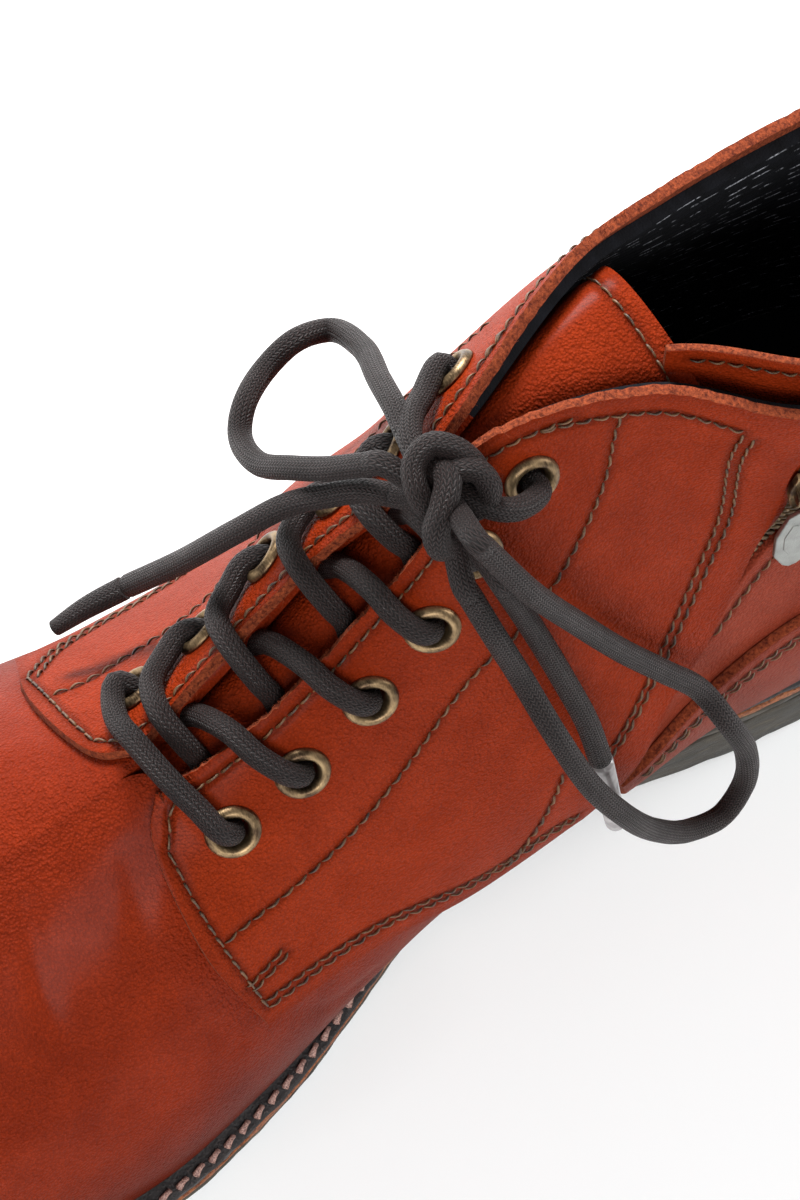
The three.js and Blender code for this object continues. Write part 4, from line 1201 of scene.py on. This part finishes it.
def welt_material():
    sh = Shader("black_welt", roughness=0.62, Specular_IOR_Level=0.45)
    drift = sh.noise(160, 3)
    dust = sh.noise(1900, 3)
    dusty = sh.band(dust, 0.58, 0.72) * 0.28
    colour = sh.mix(sh.band(drift, 0.3, 0.7), srgb(20, 18, 19), srgb(40, 36, 36))
    sh.set("Base Color", sh.mix(dusty, colour, srgb(120, 104, 98)))
    sh.set("Normal", sh.bump(drift * 2 + dust, 0.0005, 0.8))
    return sh.material


CORK_LINE, WELT = line_material(), welt_material()

# %% [markdown]
# A plate's edge line is the last's feather line, pushed out by the welt's reach in front and by the
# heel's reach behind. The same loop makes every plate and the heel block.

# %% Sole plates
WELT_REACH, HEEL_REACH = 4.0, 2.0


def reach_at(s):
    share = np.asarray(s) / BOOT_LENGTH
    front = smoothstep((share - 0.42) / 0.18)
    heel = 1 - smoothstep((share - 0.22) / 0.16)
    return WELT_REACH * np.maximum(front, 0.12) + HEEL_REACH * heel * (1 - front)


def edge_point(u, reach):
    ring = ring_at(u)
    outward = feather_outward(u)
    return ring[..., 0] + outward[..., 0] * reach, ring[..., 1] + outward[..., 1] * reach


def rounded_profile(low, high, inset, radius, steps=4):
    """The edge of a plate from its bottom to its top: (reach, height) pairs with round corners."""
    turn = np.linspace(0, math.pi / 2, steps + 1)
    bottom = [(inset[0] - radius * (1 - math.sin(t)), low + radius * (1 - math.cos(t))) for t in turn]
    top = [(inset[1] - radius * (1 - math.cos(t)), high - radius * (1 - math.sin(t))) for t in turn]
    return bottom + top


def plate_loop(u, profile, across, rough, grain):
    """A loop across the boot at one row. profile is pairs of reach from the feather line and height."""
    sides = []
    for sign in (1, -1):
        side = []
        for out, z in profile:
            s, x = (float(w) for w in edge_point(np.array(sign * u), out))
            uneven = rough * noise.noise(Vector((s * grain[0], x * grain[0], z * grain[1])))
            side.append((x + uneven * sign, BALL_PLACE * BOOT_LENGTH - s, z))
        sides.append(np.array(side))
    m, l = sides
    t = np.linspace(0, 1, across + 2)[1:-1, None]
    return np.vstack([m, m[-1] * (1 - t) + l[-1] * t, l[::-1], l[0] * (1 - t) + m[0] * t])


def solid_of_loops(name, loops, material, open_start=False):
    count = len(loops[0])
    faces = ring_faces(len(loops), count)
    if open_start:
        faces.append(tuple(range(count)))
    made = mesh_object(name, np.vstack(loops), faces, material)
    tidy(made)
    made.data.shade_smooth()
    made.data.set_sharp_from_angle(angle=math.radians(40))
    return made


def sole_plate(name, profile, material, reach=reach_at, wobble=0.0):
    """A plate under the whole boot. profile is (reach, height) pairs over the sole's own curve."""
    loops = []
    for u in HEEL_ROW * np.linspace(0, 1, 261):
        s = float(ring_at(u)[0])
        base, raised = float(reach(s)), float(sole_lift(s))
        here = [(base + extra, height + raised) for extra, height in profile]
        loops.append(plate_loop(u, here, 14, wobble, (0.3, 0.8)))
    return solid_of_loops(name, loops, material)


def row_of_length(share):
    low, high = 0.0, float(HEEL_ROW)
    while high - low > 1e-6:
        middle = (low + high) / 2
        if float(ring_at(middle)[0]) > share * BOOT_LENGTH:
            low = middle
        else:
            high = middle
    return low


OUTSOLE, MIDSOLE_TOP, INSOLE_TOP = 4.3, 6.0, WELT_TOP + 3.3
dress(sole_plate("outsole_rubber", rounded_profile(0, OUTSOLE, (-0.5, 0), 0.7), SOLE_RUBBER, wobble=0.25),
      "rubber", "outsole")
midsole_profile = rounded_profile(OUTSOLE - 0.05, MIDSOLE_TOP + 0.05, (-0.25, -0.25), 0.15, 2)
dress(sole_plate("midsole_line", midsole_profile, CORK_LINE, wobble=0.3), "cork", "midsole")
dress(sole_plate("welt_strip", rounded_profile(MIDSOLE_TOP, WELT_TOP, (-0.5, -0.3), 0.6), WELT, wobble=0.35),
      "welt", "welt")
heel_start = row_of_length(HEEL_BREAST)


def heel_block():
    """The block's top follows the arch above it, its bottom is flat on the floor."""
    loops = []
    for u in heel_start + (HEEL_ROW - heel_start) * np.linspace(0, 1, 121) ** 0.8:
        s = float(ring_at(u)[0])
        base, top = float(reach_at(s)), float(sole_lift(s)) - 0.05
        profile = ((-1.6, 0), (-1.1, 0.15), (-0.75, 0.6), (-0.6, 1.2), (-0.45, top * 0.5),
                   (-0.25, top - 0.9), (-0.4, top - 0.3), (-1.0, top))
        loops.append(plate_loop(u, [(base + extra, z) for extra, z in profile], 8, 0.3, (0.25, 0.5)))
    return solid_of_loops("heel_block", loops, HEEL_RUBBER, open_start=True)


dress(heel_block(), "rubber", "heel")
insole_profile = rounded_profile(MIDSOLE_TOP, INSOLE_TOP, (-3.0, -3.0), 0.5)
dress(sole_plate("insole_sock", insole_profile, LINING, reach=lambda s: 0 * s), "lining", "insole")


def welt_rows(inset):
    u = np.linspace(-9.4, 9.4, 900)
    s = ring_at(u)[..., 0]
    edge_s, edge_x = edge_point(u, reach_at(s) - inset)
    line = np.stack([edge_x, BALL_PLACE * BOOT_LENGTH - edge_s, sole_lift(s) + WELT_TOP + 0.1], -1)
    return line, np.tile([0.0, 0.0, 1.0], (len(u), 1))


dress(stitches("welt_stitches", [welt_rows(1.7)], WELT_THREAD, pitch=3.7, thickness=0.95, skew=14), "welt")

# %% [markdown]
# ## Eyelets
# A metal eyelet is a short tube whose end is rolled outwards. Its profile is spun round its axis once,
# and the copies are turned to each place, so that the flange lies flat on the leather.

# %% Eyelets
def metal_material(name, light, dark, rough=0.38):
    sh = Shader(name, roughness=rough, Metallic=0.9)
    cloud = sh.noise(260, 4)
    scratch = sh.noise(1500, 3, where=sh.place((1, 3, 1)))
    tone = sh.band(cloud * 0.7 + scratch * 0.3, 0.38, 0.64)
    sh.set("Base Color", sh.mix(tone, dark, light))
    sh.set("Roughness", sh.band(scratch + cloud * 0.5, 0.5, 1.0) * 0.25 + (rough - 0.08))
    sh.set("Normal", sh.bump(scratch, 0.0001, 0.5))
    return sh.material


ANTIQUE_BRASS = metal_material("antique_brass", srgb(166, 140, 104), srgb(70, 54, 40))
OLD_STEEL = metal_material("old_steel", srgb(168, 170, 166), srgb(138, 140, 136), rough=0.34)
EYELET_PROFILE = [(2.8, -1.9), (2.75, 1.2), (2.8, 2.5), (3.0, 3.1), (3.45, 3.4), (4.0, 3.3),
                  (4.5, 2.85), (4.7, 2.3), (4.68, 2.02), (3.3, 2.0), (3.2, 1.5), (3.2, -1.9)]


def spun(name, profile, steps=40):
    """Spins a closed profile of (radius, height) pairs round the Z axis."""
    mesh = bpy.data.meshes.new(name)
    made = bpy.data.objects.new(name, mesh)
    count = len(profile)
    edges = [(k, (k + 1) % count) for k in range(count)]
    mesh.from_pydata([(r * MM, 0, h * MM) for r, h in profile], edges, [])
    bpy.context.scene.collection.objects.link(made)
    deselect_all()
    made.select_set(True)
    bpy.context.view_layer.objects.active = made
    bpy.ops.object.mode_set(mode="EDIT")
    bpy.ops.mesh.select_all(action="SELECT")
    bpy.ops.mesh.spin(steps=steps, angle=math.tau, center=(0, 0, 0), axis=(0, 0, 1))
    bpy.ops.mesh.select_all(action="SELECT")
    bpy.ops.mesh.remove_doubles(threshold=0.00001)
    bpy.ops.mesh.normals_make_consistent(inside=False)
    bpy.ops.object.mode_set(mode="OBJECT")
    deselect_all()
    return made


def set_in(mesh, across, up, out, centre):
    """Moves a mesh from the origin to a place with its own axes."""
    basis = Matrix(np.stack([across, up, out], axis=1).tolist()).to_4x4()
    mesh.transform(Matrix.Translation(Vector(np.asarray(centre) * MM)) @ basis)


eyelet_master = spun("eyelet_master", EYELET_PROFILE)
eyelet_master.data.materials.append(ANTIQUE_BRASS)
eyelet_master.data.shade_smooth()
for side, word in ((1, "medial"), (-1, "lateral")):
    for k, e in enumerate(EYELETS[side]):
        ring = bpy.data.objects.new(f"eyelet_ring_{word}_{k + 1}", eyelet_master.data.copy())
        bpy.context.scene.collection.objects.link(ring)
        set_in(ring.data, e["across"], e["along"], e["out"], e["centre"])
        dress(ring, "brass", f"eyelet_{word}_{k + 1}")
bpy.data.objects.remove(eyelet_master)

# %% [markdown]
# ## Lacing
# The lace starts as a bar over the lowest pair. Above it every strand comes out from under one facing,
# crosses the gap and goes down into the eyelet of the other facing. The strands that run to the outer
# side lie on top.

# %% Lacing
OVER_FLANGE = 5.0
OVER_QUARTER = QUARTER_TOP + 2.1
UNDER = -UPPER_WALL - 2.3


def eye(side, k, height):
    e = EYELETS[side][k]
    return e["centre"] + e["out"] * height


def rim(side, row, height, inward=0.0):
    here = off_last(side * row, 1.0, height)
    other = off_last(-side * row, 1.0, height)
    gap = other - here
    return here + gap / np.linalg.norm(gap) * inward


def beside(side, row, distance, height):
    """A place on the facing, a distance below the rim."""
    return off_last(side * row, below_rim(side * row, distance), height)


def lacing_strand(side, k, over):
    """From under the facing of the other side, over the gap and down eyelet k of this side."""
    row, before = EYELET_ROWS[k], EYELET_ROWS[k - 1]
    step = row - before
    down = [eye(side, k, 2.4), eye(side, k, -1.2), eye(side, k, -5.0)]
    if over:
        # these run towards the toe on the facing first, then turn across the gap
        return [
            eye(-side, k - 1, -6.0), beside(-side, before + 0.06 * step, 6.0, UNDER),
            rim(-side, before + 0.1 * step, -2.3, 0.4),
            rim(-side, before + 0.13 * step, 0.9, 4.4),
            rim(side, before + 0.17 * step, OVER_QUARTER - 0.2, 1.0),
            beside(side, before + 0.3 * step, 5.0, OVER_QUARTER + 0.3),
            beside(side, before + 0.56 * step, 9.0, OVER_QUARTER + 0.1),
            beside(side, before + 0.84 * step, 11.2, OVER_FLANGE - 0.8), *down]
    return [
        eye(-side, k - 1, -6.2), beside(-side, before + 0.16 * step, 6.0, UNDER - 0.2),
        rim(-side, before + 0.34 * step, -2.5, 0.2),
        rim(side, before + 0.64 * step, OVER_QUARTER - 1.0, 2.0),
        beside(side, before + 0.76 * step, 3.4, OVER_QUARTER + 0.2),
        beside(side, before + 0.92 * step, 8.8, OVER_FLANGE - 0.3), *down]


def bar_route():
    down = [[eye(side, 0, h) for h in (2.4, -1.2, -5.0)] for side in (1, -1)]
    return [*down[0][::-1], beside(1, 6.04, 9.2, OVER_FLANGE), beside(1, 6.0, 4.6, OVER_QUARTER + 0.4),
            rim(1, 5.9, OVER_QUARTER + 0.1, 0.4), rim(-1, 5.78, OVER_QUARTER + 0.2, 0.2),
            beside(-1, 5.74, 4.4, OVER_QUARTER + 0.3), beside(-1, 5.84, 9.0, OVER_QUARTER + 0.5),
            beside(-1, 6.0, 11.6, OVER_FLANGE + 0.1), *down[1]]


def joined(name, objects):
    deselect_all()
    for made in objects:
        made.select_set(True)
    bpy.context.view_layer.objects.active = objects[0]
    if len(objects) > 1:
        bpy.ops.object.join()
    made = bpy.context.view_layer.objects.active
    made.name = made.data.name = name
    deselect_all()
    return made


bar, _, _ = tube("lacing_bar", bar_route(), LACE_DIAMETER, LACE)
dress(bar, "lace", "lace_bar")
for k in range(1, 5):
    pair = [tube(f"strand_{k}_{side}", lacing_strand(side, k, side < 0), LACE_DIAMETER, LACE,
                 start=31.0 * k)[0] for side in (1, -1)]
    dress(joined(f"lacing_cross_{k + 1}", pair), "lace", f"lace_cross_{k + 1}")

# %% [markdown]
# ## The knot
# A bow's knot is the lace wound once round the two crossed ends and pulled tight. It is made of its
# parts: a thick band across, a lobe under it and one beside it, and the two tails that come up from
# the top eyelets.

# %% The knot
def knot_part(route, diameter=LACE_DIAMETER, start=0.0):
    return tube("knot_part", route, diameter, LACE, start=start)[0]


def at_knot(*places):
    """Points given to the right of the knot, above it in the picture, and nearer to the eye."""
    return [KNOT + x * camera_x + y * camera_y + near * towards for x, y, near in places]


tail_medial = [*at_knot((1, 1, 0), (4, -0.6, -0.5), (8, -2.4, -2.2), (12, -2.4, -5.2)),
               eye(1, 5, 5.0), eye(1, 5, 2.0), eye(1, 5, -1.4), eye(1, 5, -5.0)]
tail_lateral = [*at_knot((0, 0, 0), (-2.6, 3.6, 0.4), (-4.6, 7.6, -2.6), (-4.6, 11.6, -7.0),
                         (-3.0, 14.6, -11.0)),
                eye(-1, 5, 4.4), eye(-1, 5, 2.0), eye(-1, 5, -1.4), eye(-1, 5, -5.0)]
knot_parts = [knot_part(tail_medial), knot_part(tail_lateral, start=40.0)]
WRAP = at_knot((5.6, 2.2, -3.5), (5.0, 4.2, 0.6), (2.0, 6.6, 3.0), (-1.6, 7.2, 3.4), (-4.2, 4.2, 3.4),
               (-3.8, 0.4, 3.2), (-2.0, -2.6, 0.8), (-0.6, -4.0, -3.0))
LOBE = at_knot((-2.4, 4.6, -1.4), (0.0, 4.0, 1.8), (1.0, 1.4, 4.4), (0.2, -2.6, 4.6), (-0.8, -6.0, 3.2),
               (-0.2, -8.4, 0.2), (1.4, -8.0, -3.4))
SIDE = at_knot((-1.0, 1.6, 0.0), (2.0, 3.4, 3.0), (5.4, 3.2, 2.6), (7.4, 0.8, 0.6), (6.4, -1.8, -2.0),
               (3.0, -3.4, -3.2))
knot_parts += [knot_part(WRAP, start=80.0), knot_part(LOBE, 4.4, 120.0), knot_part(SIDE, start=150.0)]
for route in (LOOP_MEDIAL, LOOP_LATERAL, END_MEDIAL, END_LATERAL, LOOP_MEDIAL[::-1], LOOP_LATERAL[::-1]):
    end, after = np.array(route[0], float), np.array(route[1], float)
    away = (end - after) / np.linalg.norm(end - after)
    reach_in = np.linalg.norm(end - KNOT)
    pieces = [end + away * 0.05, end + away * min(2.5, reach_in * 0.3), KNOT + (end - KNOT) * 0.35, KNOT]
    knot_parts.append(knot_part(pieces, start=200.0))
dress(joined("bow_knot", knot_parts), "lace", "lace_knot")


# %% [markdown]
# ## The zip
# A metal zip on a dark tape: its teeth are small blocks that alternate left and right of the middle,
# each clamped on the tape. One tooth is modelled and copied along the line.

# %% Zip tape and teeth
def zip_frame(t, sideways, height):
    u, v = along_zip(t, sideways)
    return off_last(u, np.minimum(v, 1.0), np.full(np.shape(u), float(height)))


def tape_material():
    sh = Shader("zip_tape_cloth", roughness=0.9)
    inputs = {"Vector": sh.map("place_mm"), "Scale": 0.35, "Distortion": 0.5}
    weave = sh.node("TexWave", inputs, bands_direction="Y")
    fine = sh.noise(2600, 2)
    tone = sh.band(weave * 0.5 + fine * 0.5, 0.3, 0.7)
    sh.set("Base Color", sh.mix(tone, srgb(16, 16, 18), srgb(52, 50, 52)))
    sh.set("Normal", sh.bump(weave + fine, 0.0003, 0.8))
    return sh.material


TAPE = tape_material()
tape_t = np.linspace(ZIP_START, ZIP_END, 160)
tape_grid = np.array([zip_frame(np.full(9, t), np.linspace(-5.0, 5.0, 9), -2.3) for t in tape_t])
tape, _ = sheet_from_points("zip_tape_cloth", tape_grid, (TAPE,), 0.7, rim_roll=0.1)
dress(tape, "lining", "zip_tape")


def tooth_shape():
    """A tooth points across the tape (x), with a waist behind its head."""
    deselect_all()
    bpy.ops.mesh.primitive_cube_add(size=1)
    made = bpy.context.object
    for vertex in made.data.vertices:
        x, y, z = vertex.co
        vertex.co = ((x + 0.5) * 2.1 - 0.25, y * (0.82 if x < 0 else 1.05), z * 1.2)
    bevel = made.modifiers.new("edges", "BEVEL")
    bevel.width = 0.14
    bevel.segments = 1
    apply_modifiers(made)
    points = np.array([v.co for v in made.data.vertices])
    faces = [tuple(p.vertices) for p in made.data.polygons]
    bpy.data.objects.remove(made)
    return points, faces


tooth_points, tooth_faces = tooth_shape()
TOOTH_PITCH = 1.5
TEETH_START, TEETH_END = ZIP_START + 0.01, ZIP_END - 0.01
middle_line, zip_length = even_steps(zip_frame(np.linspace(TEETH_START, TEETH_END, 500), 0.0, -1.3),
                                     TOOTH_PITCH)
line_t = np.linspace(TEETH_START, TEETH_END, len(middle_line))
teeth_points, teeth_faces = [], []
for i, t in enumerate(line_t[1:-1], 1):
    forward = middle_line[i + 1] - middle_line[i - 1]
    forward /= np.linalg.norm(forward)
    u, v = along_zip(t, 0.0)
    up = last_normal(u, min(float(v), 1.0))
    across = np.cross(forward, up)
    across /= np.linalg.norm(across)
    for sign in (1, -1):
        centre = middle_line[i] + forward * (0.0 if sign > 0 else TOOTH_PITCH / 2)
        base = len(teeth_points) * len(tooth_points)
        flip = [tuple(base + k for k in (f if sign > 0 else f[::-1])) for f in tooth_faces]
        teeth_faces += flip
        teeth_points.append(centre + sign * tooth_points[:, :1] * across + tooth_points[:, 1:2] * forward
                            + tooth_points[:, 2:] * up)
teeth = mesh_object("zip_teeth_row", np.vstack(teeth_points), teeth_faces, ANTIQUE_BRASS)
dress(teeth, "brass", "zip_teeth")
print("zip", round(zip_length), "mm,", len(teeth_points), "teeth")

# %% [markdown]
# ## Slider and pull tab
# The slider's plates are outlines that are filled and rounded at the edge. The pull tab is a leaf of two
# layers with a ring at its end, set at the slider's pin, and it rides on a body of its own.

# %% Slider and pull tab
SLIDER_AT = 0.74
slider_u, slider_v = (float(w) for w in along_zip(SLIDER_AT, 0.0))
slider_out = last_normal(slider_u, slider_v)
slider_up = last(*along_zip(SLIDER_AT + 0.02, 0.0)) - last(slider_u, slider_v)
slider_up /= np.linalg.norm(slider_up)
slider_across = np.cross(slider_up, slider_out)
slider_across /= np.linalg.norm(slider_across)
slider_up = np.cross(slider_out, slider_across)
SLIDER_BASE, SLIDER_PLATE, PIN_HEIGHT, PIN_RADIUS = 0.6, 1.4, 1.75, 0.6
slider_place = off_last(slider_u, slider_v, SLIDER_BASE)


def plate_from_outline(name, outline, thickness, edge, holes=()):
    """An outline is filled, given its thickness and its edges are rounded."""
    curve = bpy.data.curves.new(name, "CURVE")
    curve.dimensions = "2D"
    curve.fill_mode = "BOTH"
    for line in (outline, *holes):
        spline = curve.splines.new("POLY")
        spline.points.add(len(line) - 1)
        for point, (x, y) in zip(spline.points, line):
            point.co = (x, y, 0, 1)
        spline.use_cyclic_u = True
    curve.extrude = thickness / 2 - edge
    curve.bevel_depth = edge
    curve.bevel_resolution = 2
    curve.offset = -edge
    made = bpy.data.objects.new(name, curve)
    bpy.context.scene.collection.objects.link(made)
    deselect_all()
    made.select_set(True)
    bpy.context.view_layer.objects.active = made
    bpy.ops.object.convert(target="MESH")
    made = bpy.context.object
    deselect_all()
    return made


def set_on_slider(made, height, material):
    made.data.transform(Matrix.Translation((0, 0, height)))
    made.data.transform(Matrix.Diagonal((MM, MM, MM, 1)))
    set_in(made.data, slider_across, slider_up, slider_out, slider_place)
    made.data.shade_smooth()
    made.data.set_sharp_from_angle(angle=math.radians(40))
    made.data.materials.append(material)
    return made


BODY_OUTLINE = [(-3.5, 1), (-3.2, -2), (-2.4, -5), (0, -5.3), (2.4, -5), (3.2, -2), (3.5, 1), (2.8, 5),
                (0, 4.2), (-2.8, 5)]
WINDOW = [(-1.7, 2.9), (-1.7, 1.7), (1.7, 1.7), (1.7, 2.9)]
EAR = [(-1.2, -0.4), (1.2, -0.4), (1.2, 2.4), (0.6, 3.6), (-0.6, 3.6), (-1.2, 2.4)]
turn_x, turn_y = (Matrix.Rotation(math.radians(90), 4, axis) for axis in "XY")
pin_centre = SLIDER_PLATE + PIN_HEIGHT
top_plate = plate_from_outline("slider_top", BODY_OUTLINE, SLIDER_PLATE, 0.3, holes=[WINDOW])
parts = [set_on_slider(top_plate, SLIDER_PLATE / 2, ANTIQUE_BRASS)]
for x in (2.1, -2.1):
    ear = plate_from_outline("ear", EAR, 1.0, 0.2)
    ear.data.transform(Matrix.Translation((x, 0, 0)) @ turn_x @ turn_y)
    parts.append(set_on_slider(ear, 0.0, ANTIQUE_BRASS))
deselect_all()
bpy.ops.mesh.primitive_cylinder_add(vertices=20, radius=PIN_RADIUS, depth=4.4)
pin = bpy.context.object
pin.data.transform(turn_y)
parts.append(set_on_slider(pin, pin_centre, ANTIQUE_BRASS))
deselect_all()
bpy.ops.mesh.primitive_cube_add(size=1)
stem = bpy.context.object
stem.data.transform(Matrix.Diagonal((3.0, 7.0, 1.6, 1)))
parts.append(set_on_slider(stem, -0.3, ANTIQUE_BRASS))
dress(joined("zip_slider_body", parts), "brass", "zip_slider")

PULL_WIDTH, PULL_LENGTH = 8.5, 24.0
w, l = PULL_WIDTH / 2, PULL_LENGTH
leaf_half = [(-1.3, -0.9), (-1.45, -3.2), (-0.75 * w, -5), (-w, -0.5 * l), (-0.8 * w, -0.8 * l),
             (-0.3 * w, -0.965 * l)]
leaf_outline = [*leaf_half, (0, -l), *[(-x, y) for x, y in leaf_half[::-1]]]
RAISED_MIDDLE, RAISED_WIDE, RAISED_LONG = -12.2, 0.66, 0.62
raised_outline = [(x * RAISED_WIDE, RAISED_MIDDLE + (y - RAISED_MIDDLE) * RAISED_LONG)
                  for x, y in leaf_outline[2:-2]]
leaf = plate_from_outline("leaf", leaf_outline, 1.0, 0.3)
raised = plate_from_outline("leaf_raised", raised_outline, 1.25, 0.12)
eye_ring = spun("pull_eye", [(0.9, -1.3), (1.4, -1.2), (1.45, 0), (1.4, 1.2), (0.9, 1.3)], 24)
eye_ring.data.transform(turn_y @ Matrix.Diagonal((1 / MM, 1 / MM, 1 / MM, 1)))
pull_parts = [set_on_slider(made, pin_centre, OLD_STEEL) for made in (leaf, raised, eye_ring)]
dress(joined("zip_pull_tab", pull_parts), "steel", "zip_pull", body="zip_pull")

# %% [markdown]
# ## Floor and light
# A plain pale floor and large soft lamps, as in a catalogue studio: one high on the outer side, a weak
# one behind that draws the sheen on the leather, and a wide one in front that opens the shadows.

# %% Floor and light
def floor_material():
    sh = Shader("pale_floor", roughness=0.9, Specular_IOR_Level=0.1)
    cloud = sh.noise(3, 2)
    sh.set("Base Color", sh.mix(sh.band(cloud, 0.3, 0.7), (0.97, 0.985, 0.99), (0.98, 0.995, 1.0)))
    return sh.material


deselect_all()
bpy.ops.mesh.primitive_plane_add(size=8)
floor = bpy.context.object
floor.name = "floor"
floor.data.materials.append(floor_material())


def lamp(name, at, target, size, power):
    bpy.ops.object.light_add(type="AREA", location=at)
    made = bpy.context.object
    made.name = name
    made.data.shape = "DISK"
    made.data.size = size
    made.data.energy = power
    towards_target = Vector(target) - Vector(at)
    made.rotation_euler = towards_target.to_track_quat("-Z", "Y").to_euler()
    return made


lamp("key", (-1.4, 0.35, 1.15), (0, 0.03, 0.05), 0.7, 74)
lamp("rim", (0.3, 1.5, 0.9), (0, 0.03, 0.08), 0.7, 14)
lamp("fill", (1.3, -0.9, 1.2), (0, 0.03, 0.05), 1.2, 31)
world = bpy.data.worlds.new("studio")
bpy.context.scene.world = world
world.use_nodes = True
background = next(n for n in world.node_tree.nodes if n.type == "BACKGROUND")
background.inputs["Color"].default_value = (1, 1, 1, 1)
background.inputs["Strength"].default_value = 0.34
bpy.context.scene.view_settings.view_transform = "Standard"
